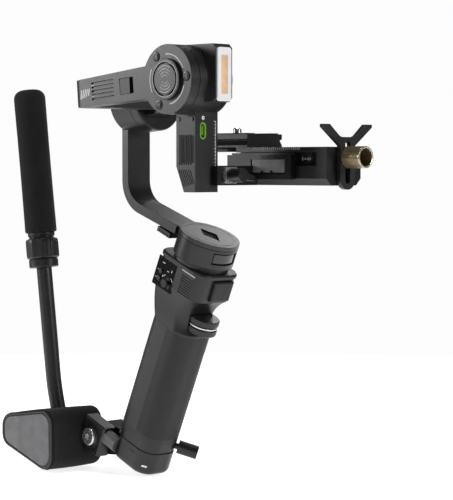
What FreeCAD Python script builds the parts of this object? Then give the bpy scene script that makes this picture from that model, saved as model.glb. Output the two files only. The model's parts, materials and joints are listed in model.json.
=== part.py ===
"""Three-axis camera gimbal with a sling grip, lens support and wrist rest, in millimetres.

The origin is the mouth of the tripod socket under the base adapter. +X is forward (the way the
lens looks), +Y is the user's left and +Z is up. The handle leans forward by `lean`, and the camera
plate is level. Each piece is drawn in one of these frames: HANDLE (its Z is the pan axis, and it
starts `foot_deep` above the socket's mouth), LEVEL (the same start, upright), ROLL (its X is the roll
axis), STAGE (its Y is the tilt axis) or ROD (its Z is the sling grip's straight rod).
"""
import FreeCAD, Part
import math
import os
import re
import Sketcher

os.makedirs("parts", exist_ok=True)
DOC = FreeCAD.newDocument("camera_gimbal")

# ---------------------------------------------------------------- driving dimensions
SIZES = {
    # the three axes
    "lean": 23.4,               # forward lean of the handle, degrees
    "axes_x": 130.0,            # the point where the roll and tilt axes cross
    "axes_z": 292.0,
    "roll_slope": 4.7,          # rise of the roll axis towards the front, degrees
    "running_gap": 0.4,         # between faces that turn or slide past each other
    "shaft_gap": 0.05,          # radial clearance of a shaft in its bearing
    "trim_thick": 1.2,          # thin plates and labels let into a shell
    "screw_radius": 1.6,        # small cover screws
    "edge_round": 1.2,          # small rounding of outer edges
    "cut_margin": 1.0,          # how far a cut runs past the face it opens
    # handle section, and heights along the pan axis
    "grip_half_x": 22.5,
    "grip_half_y": 18.5,
    "grip_corner": 14.0,
    "foot_deep": 12.0,          # from the socket's mouth up to where the handle frame starts
    "adapter_top": 8.0,
    "ring_top": 15.5,
    "grip_top": 114.0,
    "pad_bottom": 21.0,         # rubber panel round the front of the grip
    "pad_top": 112.0,
    "pad_start_x": 2.0,
    "pad_thick": 1.4,
    "strip_half_y": 9.0,        # battery door down the back of the grip
    "strip_thick": 2.0,
    "strip_proud": 1.2,
    "strip_bottom": 30.0,
    "strip_top": 110.0,
    "cell_radius": 9.2,         # round battery cell
    "cell_bottom": 40.0,
    "cell_length": 65.0,
    # base adapter
    "adapter_corner": 5.0,
    "arm_rear_x": 46.0,
    "arm_half_y": 9.6,
    "arm_top_z": 3.0,
    "arm_bottom_z": 22.0,
    "arm_root_z": 8.0,
    "arm_root_x": 20.0,
    "arm_under_x": 34.0,
    "arm_start_x": 14.0,
    "arm_corner": 4.0,
    "ring_inset": 0.8,
    "socket_radius": 3.175,     # quarter-inch tripod thread
    "socket_depth": 11.0,
    "pin_hole_radius": 2.2,     # anti-twist pin hole beside the socket
    "pin_hole_x": 12.0,
    "pin_hole_depth": 5.0,
    "lock_turn": 40.0,          # the lock knob's direction, degrees from the front
    "lock_z": 11.75,
    "lock_start": 10.0,
    "lock_stem_radius": 2.5,
    "lock_knob_radius": 5.6,
    "lock_stem_end": 25.4,
    "lock_end": 42.0,
    # head of the handle
    "head_rear_x": 28.0,
    "head_front_x": 25.0,
    "head_half_y": 20.5,
    "head_corner": 10.0,
    "head_wall": 2.5,
    "head_neck_front_x": 17.5,
    "head_neck_z": 134.0,
    "head_shelf_z": 144.5,
    "head_top": 168.0,
    "head_neck_half_y": 18.8,
    "deck_thick": 3.0,
    "deck_overhang": 1.2,
    "panel_left": -26.0,        # control panel at the rear of the right-hand side
    "panel_right": -4.0,
    "panel_bottom": 139.0,
    "panel_top": 163.0,
    "stick_x": -10.5,
    "stick_z": 145.5,
    "stick_radius": 3.4,
    "stick_well_radius": 4.6,
    "stick_neck_radius": 1.6,
    "stick_length": 3.2,
    "stick_cap": 1.6,
    "stick_gap": 0.4,
    "stick_pin_radius": 0.8,
    "stick_pin_half_x": 2.6,
    "key_radius": 2.0,
    "key_high": 1.0,
    "key_travel": 0.5,
    "key_x": -20.0,
    "key_pitch": 6.0,
    "key_low_z": 146.0,
    "rib_panel_left": 3.0,
    "rib_panel_right": 16.0,
    "rib_panel_bottom": 145.0,
    "rib_pitch": 2.0,
    "board_half_x": 16.0,
    "board_half_y": 11.0,
    "board_thick": 1.6,
    "trigger_bottom": 146.5,
    "trigger_top": 163.0,
    "trigger_half_y": 10.0,
    "trigger_thick": 4.5,
    "trigger_travel": 1.6,
    "trigger_proud": 3.0,
    "trigger_round": 1.6,
    "trigger_y": 3.0,
    "trigger_pin_radius": 0.8,
    "trigger_pin_inset": 1.8,   # from the trigger's rear and top faces to its pivot pin
    "dial_radius": 12.0,
    "dial_x": 20.5,
    "dial_y": 0.0,
    "dial_low_z": 117.5,
    "dial_high": 5.2,
    "dial_ring_high": 1.6,
    "dial_post_radius": 2.9,
    "dial_ring_inset": 0.6,
    "dial_tooth_radius": 0.5,
    # pan motor and pan arm
    "motor_radius": 24.2,
    "pan_motor_base": 171.4,
    "pan_motor_top": 187.6,
    "motor_wall": 2.2,
    "rotor_radius": 19.0,
    "rotor_high": 8.0,
    "axle_radius": 4.0,
    "bearing_radius": 8.0,
    "bearing_high": 4.0,
    "window_half_y": 12.0,
    "window_low": 176.0,
    "window_high": 185.6,
    "arm_half_width": 12.0,
    "arm_thick": 8.0,
    "pan_disc_thick": 3.6,
    "leg_drop": 2.6,
    "leg_rise": 20.0,           # of the pan arm's leg towards the back, degrees
    "leg_root_x": 19.0,
    "leg_clear": 1.4,
    "upright_front_x": -5.6,
    "upright_thick": 6.8,
    "upright_drop": 30.0,       # from the roll axis, where it meets the tilt axis, down to the upright's top
    "bend_inner": 20.0,
    "lozenge_half_x": 12.0,
    "lozenge_half_y": 7.0,
    "lozenge_deep": 1.6,
    "pan_lock_x": 30.0,
    "pan_lock_long": 15.0,
    "pan_lock_wide": 10.0,
    "pan_lock_pitch": 2.5,
    "pan_lock_high": 4.0,
    "pan_lock_sink": 2.2,
    "lock_travel": 4.0,
    # roll motor, in the roll frame (x from the axes' crossing)
    "roll_radius": 25.5,
    "roll_back_x": -143.5,
    "roll_split_x": -121.5,
    "roll_front_x": -113.0,
    "roll_lock_low": 228.0,
    "roll_lock_high": 249.0,
    "roll_lock_half_y": 5.0,
    "roll_lock_thick": 2.6,
    # roll arm
    "cross_front_x": -98.0,
    "cross_thick": 9.0,
    "cross_half_z": 10.0,
    "cross_end_y": 24.0,
    "leg_out_y": 96.5,
    "leg_thick": 14.0,
    "leg_rear_half_z": 10.0,
    "leg_front_half_z": 12.0,
    "leg_front_x": -26.0,
    "leg_corner": 12.0,
    "cap_radius": 25.4,
    "cap_split_y": 88.0,
    "stage_split_y": 87.4,
    "arm_out_y": 78.0,
    "hub_proud": 2.4,
    "hub_ring_radius": 15.0,
    "hub_radius": 11.2,
    "hub_screw_circle": 20.2,
    "latch_x": -44.0,
    "latch_half_x": 7.5,
    "latch_half_z": 6.0,
    "latch_deep": 3.0,
    "vent_left": -83.0,
    "vent_right": -58.0,
    "vent_pitch": 3.0,
    "vent_deep": 1.0,
    # tilt arm, in the stage frame
    "stage_in_y": 55.0,
    "stage_half_x": 10.0,
    "stage_bottom": -82.0,
    "stage_slant_z": -63.0,
    "stage_slant_x": -2.0,
    "stage_head_top": 25.5,
    "stage_head_bottom": -16.5,
    "stage_head_front": 31.0,
    "stage_cover_thick": 1.6,
    "light_frame_thick": 1.4,
    "light_half_y": 6.8,
    "light_half_z": 19.5,
    "light_z": 3.4,
    "led_half_y": 3.4,
    "led_half_z": 14.0,
    "usb_z": -37.0,
    "usb_y": -70.0,
    "usb_half_y": 3.0,
    "usb_half_z": 6.2,
    "usb_deep": 6.0,
    "usb_wall": 0.9,
    "slide_bottom": -80.0,
    "slide_top": -22.0,
    "slide_half_x": 7.0,
    "slide_thick": 4.0,
    "slide_bar_half_x": 5.0,
    # carriage, rail clamp and camera support
    "carriage_back": -11.0,
    "carriage_front": 16.0,
    "carriage_lip": 6.0,
    "spindle_deep": 9.0,
    "jaw_gap": 1.2,
    "carriage_low": -77.0,
    "carriage_high": -62.5,
    "clamp_front": 54.0,
    "clamp_out_y": 24.0,
    "clamp_bottom": -72.7,
    "clamp_top": -54.5,
    "rail_top": -48.8,
    "rail_flange_z": -52.6,
    "rail_waist_z": -62.5,
    "rail_bottom": -77.0,
    "rail_half_y": 18.6,
    "rail_waist_half_y": 14.0,
    "rail_back": -7.0,
    "rail_front": 85.0,
    "rail_bevel": 5.0,
    "plate_half_y": 19.0,
    "plate_bottom": -48.4,
    "plate_top": -38.7,
    "plate_notch": 2.4,
    "plate_back": -52.0,
    "plate_front": 5.0,
    "camera_screw_radius": 3.175,
    "camera_screw_stand": 5.0,
    "camera_screw_neck": 2.4,   # undercut that keeps the screw captive in the plate
    "camera_screw_head": 7.0,
    "camera_pad_thick": 0.8,
    "lever_y": -49.0,
    "lever_z": -69.5,
    "lever_hub_radius": 5.0,
    "lever_hub_front": 31.0,
    "lever_reach": 12.0,
    "lever_thick": 3.4,
    "jaw_back": 15.0,
    "jaw_front": 48.0,
    "jaw_low": -67.5,
    "jaw_high": -58.0,
    "fork_thick": 3.6,
    "fork_elbow": -48.0,
    "fork_tip_thick": 2.2,
    "fork_hole_z": -47.6,
    "slot_flat": 0.1,
    "fork_bottom": -80.0,
    "fork_stem_half_y": 8.0,
    "fork_crotch": -41.7,
    "fork_tip": -32.4,
    "fork_tip_y": 26.5,
    "fork_prong": 7.0,
    "fork_slot_radius": 2.8,
    "fork_slot_low": -75.6,
    "fork_slot_high": -52.6,
    "knob_z": -56.4,
    "knob_radius": 8.0,
    "knob_long": 17.0,
    "knob_bore": 6.6,
    "knob_bore_deep": 11.0,
    "knob_stud_radius": 2.4,
    "knob_stud_depth": 8.0,
    # wrist rest
    "knuckle_back_x": 53.0,
    "knuckle_front_x": 28.0,
    "knuckle_low_z": -20.0,
    "knuckle_high_z": 6.0,
    "knuckle_out_y": 22.0,
    "thumb_y": -16.0,
    "thumb_z": -2.0,
    "thumb_radius": 6.2,
    "thumb_long": 14.0,
    "thumb_hollow": 1.0,
    "thumb_stem_radius": 2.5,
    "thumb_swing": 1.0,         # room in the adapter for the knob when the rest is tilted
    "thumb_relief_half_y": 7.4,
    "thumb_relief_half_z": 9.8,
    "thumb_stem_in": 8.0,
    "pivot_x": 41.0,
    "pivot_z": -8.0,
    "rest_bolt_radius": 3.0,
    "rest_bolt_head": 7.2,
    "rest_washer_radius": 9.4,
    "rest_washer_thick": 1.0,
    "bolt_head_high": 2.4,
    "bolt_key_radius": 2.3,
    "bolt_key_deep": 1.6,
    "pad_rear_x": -116.0,       # wrist rest, in the level frame
    "pad_rear_top": 24.3,
    "pad_rear_bottom": 0.0,
    "pad_front_x": -50.0,
    "pad_front_top": 33.0,
    "pad_front_bottom": -22.5,
    "pad_corner": 10.0,
    "pad_right_y": -53.5,
    "pad_left_y": 2.0,
    "pad_end_round": 5.0,
    "cap_proud": 1.6,
    "lug_relief": 17.5,
    # sling grip
    "rod_x": -96.0,
    "rod_y": -15.0,
    "rod_z": 57.0,
    "rod_radius": 6.35,
    "rod_curve": 172.0,
    "rod_bend": 15.0,
    "rod_lean": 7.3,
    "rod_length": 200.0,
    "collar_low": 88.0,
    "collar_long": 29.0,
    "collar_radius": 13.75,
    "collar_gap": 0.3,
    "tube_outer": 8.5,
    "tube_end": 3.0,
    "foam_cap": 6.0,
    "foam_round": 7.0,
    "foam_top": 238.0,
    "foam_radius": 13.25,
    "magnet_gap": 0.6,
    "light_inset": 1.2,
    "light_sunk": 0.8,
    "floor_gap": 0.4,
    "roll_floor": 3.0,
    "slider_gap": 0.2,
    "rib_wide": 0.9,
    "rib_deep": 0.8,
    "guide_half_y": 13.0,
    "guide_wall": 3.0,
    "guide_inset": 1.5,
    "vent_high": 1.4,
    "cap_hollow": 4.5,
    "hub_ring_gap": 1.2,
    "hub_floor": 0.8,
    "screw_proud": 0.6,
    "stage_head_in_y": 61.0,
    "head_bevel": 3.0,
    "usb_round": 2.9,
    "usb_tongue": 0.5,
    "cover_margin": 1.2,
    "cover_top": -26.5,
    "flute_margin": 3.0,
    "flute_pitch": 2.4,
    "flute_wide": 1.2,
    "flute_deep": 0.7,
    "flute_top": -40.0,
    "flute_bottom": -62.0,
    "cover_screw_z": -28.6,
    "cover_screw_pitch": 14.0,
    "cover_screw_inset": 2.6,
    "light_y": -70.0,
    "light_corner": 2.4,
    "lens_sunk": 0.4,
    "slide_proud": 2.4,
    "jaw_thick": 1.4,
    "jaw_notch": 1.8,
    "jaw_notch_rear": 9.9,      # from the jaw's rear end to each notch
    "jaw_notch_front": 19.8,
    "bracket_half": 6.0,
    "spindle_radius": 2.0,
    "bracket_thick": 2.4,
    "lever_drop": 1.0,
    "rail_base_half_y": 18.6,
    "rail_nose_x": 66.0,
    "rail_nose_long": 9.0,
    "rail_slot_front": 60.0,
    "tongue_half_y": 4.6,
    "tongue_deep": 3.6,
    "knob_hole_deep": 12.0,
    "pad_margin": 2.0,
    "screw_x": -24.0,
    "screw_head_thick": 3.0,
    "screw_play": 0.3,
}
SHEET = DOC.addObject("Spreadsheet::Sheet", "sizes")
for row, (name, number) in enumerate(SIZES.items(), start=1):
    SHEET.set(f"A{row}", name)
    SHEET.set(f"B{row}", str(number))
    SHEET.setAlias(f"B{row}", name)
DOC.recompute()

FULL_TURN = 360.0
TOLERANCE = 1e-4
CIRCLE_PARTS = ("x", "y", "radius")
PLANES = {"XY": "XY_Plane", "XZ": "XZ_Plane", "YZ": "YZ_Plane"}

# frame: where its origin is, and its turn about Y in degrees
FOOT_X = "foot_deep*sin(lean)"
FOOT_Z = "foot_deep*cos(lean)"
HANDLE = (FOOT_X, "0", FOOT_Z, "lean")
ROLL = (f"axes_x + {FOOT_X}", "0", f"axes_z + {FOOT_Z}", "-roll_slope")
STAGE = (f"axes_x + {FOOT_X}", "0", f"axes_z + {FOOT_Z}", "0")
LEVEL = (FOOT_X, "0", FOOT_Z, "0")
ROD = (f"rod_x + {FOOT_X}", "rod_y", f"rod_z + {FOOT_Z}", "-rod_lean")
KEYS = (0, 1)
VENT_ROWS = (-2, -1, 0, 1, 2)
FLUTES = range(6)
RIBS = range(8)
SLIDER_RIBS = range(1, 6)
HUB_SCREW_ANGLES = (0, 120, 240)

PIECES = []


def bind(expression):
    """The expression with every size name pointing at its cell in the sheet."""
    return re.sub(r"[a-z_]\w*", lambda word: f"sizes.{word[0]}" if word[0] in SIZES else word[0], expression)


def value(expression):
    """The number that an expression gives."""
    result = SHEET.evalExpression(bind(expression))
    return float(getattr(result, "Value", result))


def rectangle(x_low, x_high, y_low, y_high):
    return [(x_low, y_low), (x_high, y_low), (x_high, y_high), (x_low, y_high)]


def centred(half_x, half_y):
    return rectangle(f"-({half_x})", half_x, f"-({half_y})", half_y)


def circle(x, y, radius):
    return (x, y, radius)


def rounded(x_low, x_high, y_low, y_high, radius):
    return (x_low, x_high, y_low, y_high, radius)


def section(grow="0"):
    """The grip's rounded section, moved out all round by `grow`."""
    half_x = f"grip_half_x + {grow}"
    half_y = f"grip_half_y + {grow}"
    return rounded(f"-({half_x})", half_x, f"-({half_y})", half_y, f"grip_corner + {grow}")


def along(axis):
    """Picks the straight edges that run along an axis."""
    def pick(edge):
        if edge.Curve.TypeId != "Part::GeomLine":
            return False
        return abs(abs(getattr(edge.Curve.Direction, axis)) - 1) < TOLERANCE
    return pick


def level_with(axis, expression):
    """Picks the edges that lie in the plane where an axis has one value."""
    def pick(edge):
        low = getattr(edge.BoundBox, axis.upper() + "Min")
        high = getattr(edge.BoundBox, axis.upper() + "Max")
        height = value(expression)
        return abs(low - height) < 0.01 and abs(high - height) < 0.01
    return pick


def near(axis, expression):
    """Picks the edges whose middle has one value of an axis."""
    return lambda edge: abs(getattr(edge.CenterOfMass, axis) - value(expression)) < 0.01


def beyond(axis, expression):
    """Picks the edges whose middle lies past one value of an axis."""
    return lambda edge: getattr(edge.CenterOfMass, axis) > value(expression)


def short_of(axis, expression):
    """Picks the edges whose middle lies before one value of an axis."""
    return lambda edge: getattr(edge.CenterOfMass, axis) < value(expression)


class Piece:
    """A PartDesign body whose sketches and features take their sizes from the sheet."""

    def __init__(self, label, frame):
        self.body = DOC.addObject("PartDesign::Body", label)
        self.body.Label = label
        x, y, z, turn = frame
        self.body.Placement = FreeCAD.Placement(
            FreeCAD.Vector(0, 0, 0), FreeCAD.Rotation(FreeCAD.Vector(0, 1, 0), 1))
        for target, expression in (("Base.x", x), ("Base.y", y), ("Base.z", z), ("Rotation.Angle", turn)):
            self.body.setExpression(f".Placement.{target}", bind(expression))
        PIECES.append(self.body)

    def origin_part(self, role):
        return [item for item in self.body.Origin.OriginFeatures if item.Role == role][0]

    def sketch(self, plane, loops, offset, turn="0"):
        """A sketch across an axis, turned about its own vertical by an angle in degrees."""
        sketch = self.body.newObject("Sketcher::SketchObject", self.body.Label + "_sketch")
        sketch.AttachmentSupport = [(self.origin_part(PLANES[plane]), "")]
        sketch.MapMode = "FlatFace"
        sketch.AttachmentOffset = FreeCAD.Placement(
            FreeCAD.Vector(0, 0, 0), FreeCAD.Rotation(FreeCAD.Vector(0, 1, 0), 1))
        sketch.setExpression(".AttachmentOffset.Base.x", bind(f"({offset}) * sin({turn})"))
        sketch.setExpression(".AttachmentOffset.Base.z", bind(f"({offset}) * cos({turn})"))
        sketch.setExpression(".AttachmentOffset.Rotation.Angle", bind(turn))
        for loop in loops:
            if isinstance(loop, list):
                self.draw_polygon(sketch, loop)
            elif len(loop) == len(CIRCLE_PARTS):
                self.draw_circle(sketch, loop)
            else:
                self.draw_rounded(sketch, loop)
        sketch.Visibility = False
        return sketch

    def fix_point(self, sketch, item, end, x, y):
        for kind, expression in (("DistanceX", x), ("DistanceY", y)):
            index = sketch.addConstraint(Sketcher.Constraint(kind, -1, 1, item, end, value(expression)))
            sketch.setExpression(f"Constraints[{index}]", bind(expression))

    def draw_polygon(self, sketch, points):
        places = [FreeCAD.Vector(value(x), value(y), 0) for x, y in points]
        first = sketch.GeometryCount
        count = len(points)
        for index, place in enumerate(places):
            sketch.addGeometry(Part.LineSegment(place, places[(index + 1) % count]))
        for index in range(count):
            after = first + (index + 1) % count
            sketch.addConstraint(Sketcher.Constraint("Coincident", first + index, 2, after, 1))
        for index, (x, y) in enumerate(points):
            self.fix_point(sketch, first + index, 1, x, y)

    def draw_circle(self, sketch, ring):
        x, y, radius = ring
        item = sketch.GeometryCount
        centre = FreeCAD.Vector(value(x), value(y), 0)
        sketch.addGeometry(Part.Circle(centre, FreeCAD.Vector(0, 0, 1), value(radius)))
        self.fix_point(sketch, item, 3, x, y)
        index = sketch.addConstraint(Sketcher.Constraint("Radius", item, value(radius)))
        sketch.setExpression(f"Constraints[{index}]", bind(radius))

    def draw_rounded(self, sketch, loop):
        """A rectangle with four equal corner arcs, held by two opposite arc centres."""
        x_low, x_high, y_low, y_high, radius = loop
        corner = value(radius)
        left, right = value(x_low) + corner, value(x_high) - corner
        bottom, top = value(y_low) + corner, value(y_high) - corner
        first = sketch.GeometryCount
        centres = [(right, top), (left, top), (left, bottom), (right, bottom)]
        for index, (x, y) in enumerate(centres):
            ring = Part.Circle(FreeCAD.Vector(x, y, 0), FreeCAD.Vector(0, 0, 1), corner)
            sketch.addGeometry(Part.ArcOfCircle(ring, index * math.pi / 2, (index + 1) * math.pi / 2))
        sides = [((right, top + corner), (left, top + corner)), ((left - corner, top), (left - corner, bottom)),
                 ((left, bottom - corner), (right, bottom - corner)),
                 ((right + corner, bottom), (right + corner, top))]
        for index, (start, end) in enumerate(sides):
            sketch.addGeometry(Part.LineSegment(FreeCAD.Vector(*start, 0), FreeCAD.Vector(*end, 0)))
            side = first + len(centres) + index
            sketch.addConstraint(Sketcher.Constraint("Horizontal" if index % 2 == 0 else "Vertical", side))
            sketch.addConstraint(Sketcher.Constraint("Tangent", first + index, 2, side, 1))
            sketch.addConstraint(Sketcher.Constraint("Tangent", side, 2, first + (index + 1) % len(centres), 1))
        for index in range(1, len(centres)):
            sketch.addConstraint(Sketcher.Constraint("Equal", first, first + index))
        index = sketch.addConstraint(Sketcher.Constraint("Radius", first, corner))
        sketch.setExpression(f"Constraints[{index}]", bind(radius))
        self.fix_point(sketch, first, 3, f"({x_high}) - ({radius})", f"({y_high}) - ({radius})")
        self.fix_point(sketch, first + 2, 3, f"({x_low}) + ({radius})", f"({y_low}) + ({radius})")

    def loft(self, stations):
        """A smooth body through closed loops, each at its own height."""
        sketches = [self.sketch("XY", [loop], height) for height, loop in stations]
        feature = self.body.newObject("PartDesign::AdditiveLoft", self.body.Label + "_loft")
        feature.Profile = sketches[0]
        feature.Sections = sketches[1:]
        DOC.recompute()

    def prism(self, kind, plane, loops, low, high, turn):
        """A pad or pocket of the loops between two values of the axis across the plane."""
        start = f"-({high})" if plane == "XZ" else low      # the XZ plane looks along -Y
        feature = self.body.newObject(kind, self.body.Label + "_prism")
        feature.Profile = self.sketch(plane, loops, start, turn)
        feature.setExpression("Length", bind(f"({high}) - ({low})"))
        return feature

    def pad(self, plane, loops, low, high, turn="0"):
        self.prism("PartDesign::Pad", plane, loops, low, high, turn)
        DOC.recompute()

    def cut(self, plane, loops, low, high, turn="0"):
        before = self.body.Shape.Volume
        feature = self.prism("PartDesign::Pocket", plane, loops, low, high, turn)
        feature.Reversed = True
        DOC.recompute()
        self.check_change(before)

    def turned(self, kind, plane, loops, axis):
        feature = self.body.newObject(kind, self.body.Label + "_turned")
        feature.Profile = self.sketch(plane, loops, "0")
        feature.ReferenceAxis = (self.origin_part(axis), [""])
        feature.Angle = FULL_TURN
        DOC.recompute()

    def spin(self, plane, loops, axis):
        self.turned("PartDesign::Revolution", plane, loops, axis)

    def groove(self, plane, loops, axis):
        before = self.body.Shape.Volume
        self.turned("PartDesign::Groove", plane, loops, axis)
        self.check_change(before)

    def check_change(self, before):
        if abs(self.body.Shape.Volume - before) < TOLERANCE:
            raise RuntimeError(f"{self.body.Label}: a cut met no material")

    def dress(self, kind, size_name, size, picks):
        base = self.body.Tip
        edges = [f"Edge{index}" for index, edge in enumerate(base.Shape.Edges, start=1)
                 if all(pick(edge) for pick in picks)]
        if not edges:
            raise RuntimeError(f"{self.body.Label}: no edge to dress")
        feature = self.body.newObject(kind, self.body.Label + "_edge")
        feature.Base = (base, edges)
        feature.setExpression(size_name, bind(size))
        DOC.recompute()

    def round(self, radius, *picks):
        self.dress("PartDesign::Fillet", "Radius", radius, picks)

    def bevel(self, size, *picks):
        self.dress("PartDesign::Chamfer", "Size", size, picks)


# ---------------------------------------------------------------- foot of the handle
def base_adapter():
    """Foot of the handle: tripod socket below, and an arm reaching back to the wrist rest."""
    piece = Piece("base_adapter", HANDLE)
    piece.pad("XY", [section()], "-foot_deep", "adapter_top")
    piece.round("adapter_corner", level_with("z", "-foot_deep"))
    arm = [("-arm_start_x", "-foot_deep"), ("-arm_start_x", "arm_root_z"), ("-arm_root_x", "arm_root_z"),
           ("-arm_rear_x", "arm_top_z"), ("-arm_rear_x", "-arm_bottom_z"), ("-arm_under_x", "-arm_bottom_z")]
    piece.pad("XZ", [arm], "-arm_half_y", "arm_half_y")
    piece.round("arm_corner", along("y"), short_of("x", "-grip_half_x - cut_margin"))
    piece.cut("XY", [circle("0", "0", "socket_radius")], "-foot_deep", "-foot_deep + socket_depth")
    piece.cut("XY", [circle("pin_hole_x", "0", "pin_hole_radius")], "-foot_deep", "-foot_deep + pin_hole_depth")
    piece.cut("XZ", [circle("-pivot_x", "pivot_z", "rest_bolt_radius + shaft_gap")], "-arm_half_y", "arm_half_y")
    relief = rounded("thumb_y - thumb_relief_half_y", "thumb_y + thumb_relief_half_y",
                     "thumb_z - thumb_relief_half_z", "thumb_z + thumb_relief_half_z", "thumb_radius")
    piece.cut("YZ", [relief], "-knuckle_front_x", "-knuckle_front_x + thumb_long + 2*slider_gap + thumb_swing")


def adapter_lock_knob():
    """Release knob of the handle's foot, on a stem that leaves the ring's front left corner."""
    piece = Piece("adapter_lock_knob", HANDLE)
    piece.pad("YZ", [circle("0", "lock_z", "lock_stem_radius")], "lock_start", "lock_stem_end", "lock_turn")
    piece.pad("YZ", [circle("0", "lock_z", "lock_knob_radius")], "lock_stem_end", "lock_end", "lock_turn")


def bottom_ring():
    """Metal ring that closes the grip and is gripped by the base adapter."""
    piece = Piece("bottom_ring", HANDLE)
    piece.pad("XY", [section("-ring_inset")], "adapter_top", "ring_top")
    piece.cut("YZ", [circle("0", "lock_z", "lock_stem_radius + shaft_gap")],
              "lock_start", "lock_stem_end", "lock_turn")


# ---------------------------------------------------------------- grip
def grip_shell():
    """Inner casing of the grip round the battery, reduced where the outer skins wrap it."""
    piece = Piece("grip_shell", HANDLE)
    piece.pad("XY", [section()], "ring_top", "grip_top")
    skin_zone = centred("grip_half_x + cut_margin", "grip_half_y + cut_margin")
    piece.cut("XY", [skin_zone, section("-pad_thick")], "pad_bottom", "pad_top")
    piece.cut("XY", [circle("0", "0", "cell_radius + running_gap")], "ring_top", "grip_top")
    piece.cut("XY", [door_outline()], "strip_bottom", "strip_top")


def door_outline():
    return rectangle("-grip_half_x - strip_proud", "-grip_half_x + strip_thick", "-strip_half_y", "strip_half_y")


def grip_skin(label):
    piece = Piece(label, HANDLE)
    piece.pad("XY", [section(), section("-pad_thick")], "pad_bottom", "pad_top")
    return piece


def grip_front_pad():
    """Rubber panel round the front of the grip."""
    piece = grip_skin("grip_front_pad")
    rear = rectangle("-grip_half_x - cut_margin", "pad_start_x",
                     "-grip_half_y - cut_margin", "grip_half_y + cut_margin")
    piece.cut("XY", [rear], "pad_bottom", "pad_top")


def grip_side_band():
    """Smooth band round the back and sides of the grip, open for the battery door."""
    piece = grip_skin("grip_side_band")
    front = rectangle("pad_start_x", "grip_half_x + cut_margin",
                      "-grip_half_y - cut_margin", "grip_half_y + cut_margin")
    piece.cut("XY", [front], "pad_bottom", "pad_top")
    piece.cut("XY", [door_outline()], "strip_bottom", "strip_top")


def battery_door():
    """Narrow door down the back of the grip."""
    piece = Piece("battery_door", HANDLE)
    piece.pad("XY", [door_outline()], "strip_bottom", "strip_top")
    piece.round("strip_proud", along("z"), short_of("x", "-grip_half_x"))


def battery_cell():
    """Rechargeable cell inside the grip."""
    piece = Piece("battery_cell", HANDLE)
    piece.pad("XY", [circle("0", "0", "cell_radius")], "cell_bottom", "cell_bottom + cell_length")


# ---------------------------------------------------------------- head of the handle
def head_section():
    return rounded("-head_rear_x", "head_front_x", "-head_half_y", "head_half_y", "head_corner")


def head_shell():
    """Head casing between the grip and the pan motor, with the dial slot and the trigger bay."""
    piece = Piece("head_shell", HANDLE)
    neck = rounded("-head_rear_x", "head_neck_front_x", "-head_neck_half_y", "head_neck_half_y", "head_corner")
    piece.loft([("grip_top", section()), ("head_neck_z", neck), ("head_shelf_z", head_section())])
    piece.pad("XY", [head_section()], "head_shelf_z", "head_top - deck_thick")
    hollow = rounded("-head_rear_x + head_wall", "head_front_x - trigger_thick - head_wall",
                     "-head_half_y + head_wall + trim_thick", "head_half_y - head_wall",
                     "head_corner - head_wall")
    piece.cut("XY", [hollow], "head_shelf_z + head_wall", "head_top - deck_thick")
    piece.cut("XY", [circle("dial_x", "dial_y", "dial_radius + running_gap")],
              "dial_low_z - running_gap", dial_top("running_gap"))
    piece.cut("YZ", [trigger_outline("running_gap")], "head_front_x - trigger_thick", "head_front_x + cut_margin")
    piece.cut("XZ", [panel_outline()], "-head_half_y - cut_margin", "-head_half_y + trim_thick")
    ribs = [rectangle("rib_panel_left", "rib_panel_right", f"rib_panel_bottom + {index}*rib_pitch",
                      f"rib_panel_bottom + {index}*rib_pitch + rib_wide") for index in RIBS]
    piece.cut("XZ", ribs, "-head_half_y", "-head_half_y + rib_deep")


def panel_outline():
    return rectangle("panel_left", "panel_right", "panel_bottom", "panel_top")


def head_deck():
    """Flange on top of the head that carries the pan motor."""
    piece = Piece("head_deck", HANDLE)
    grown = rounded("-head_rear_x - deck_overhang", "head_front_x + deck_overhang",
                    "-head_half_y - deck_overhang", "head_half_y + deck_overhang", "head_corner + deck_overhang")
    piece.pad("XY", [grown], "head_top - deck_thick", "head_top")
    piece.bevel("deck_overhang", level_with("z", "head_top"))
    piece.pad("XY", [circle("0", "0", "motor_radius - motor_wall")], "head_top", "pan_motor_base")


def dial_top(extra):
    return f"dial_low_z + 2*dial_high + dial_ring_high + 2*running_gap + {extra}"


def dial_axle():
    """Post that the two dials turn on, with its stepped foot and the light ring between them."""
    piece = Piece("dial_axle", HANDLE)
    centre = ("dial_x", "dial_y")
    piece.pad("XY", [circle(*centre, "dial_post_radius")], "dial_low_z - running_gap", dial_top("running_gap"))
    ring_low = "dial_low_z + dial_high + running_gap"
    piece.pad("XY", [circle(*centre, "dial_radius - dial_ring_inset")], ring_low, f"{ring_low} + dial_ring_high")


def knurled_dial(label, low):
    piece = Piece(label, HANDLE)
    centre = ("dial_x", "dial_y")
    rings = [circle(*centre, "dial_radius"), circle(*centre, "dial_post_radius + shaft_gap")]
    piece.pad("XY", rings, low, f"{low} + dial_high")
    piece.bevel("dial_tooth_radius", beyond("x", "dial_x - cut_margin"), level_with("z", low), wide("dial_radius"))
    piece.bevel("dial_tooth_radius", level_with("z", f"{low} + dial_high"), wide("dial_radius"))


def wide(radius):
    """Picks the round edges of one radius."""
    def pick(edge):
        return edge.Curve.TypeId == "Part::GeomCircle" and abs(edge.Curve.Radius - value(radius)) < 0.01
    return pick


def trigger_outline(grow):
    return rectangle(f"trigger_y - trigger_half_y - {grow}", f"trigger_y + trigger_half_y + {grow}",
                     f"trigger_bottom - {grow}", f"trigger_top + {grow}")


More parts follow.
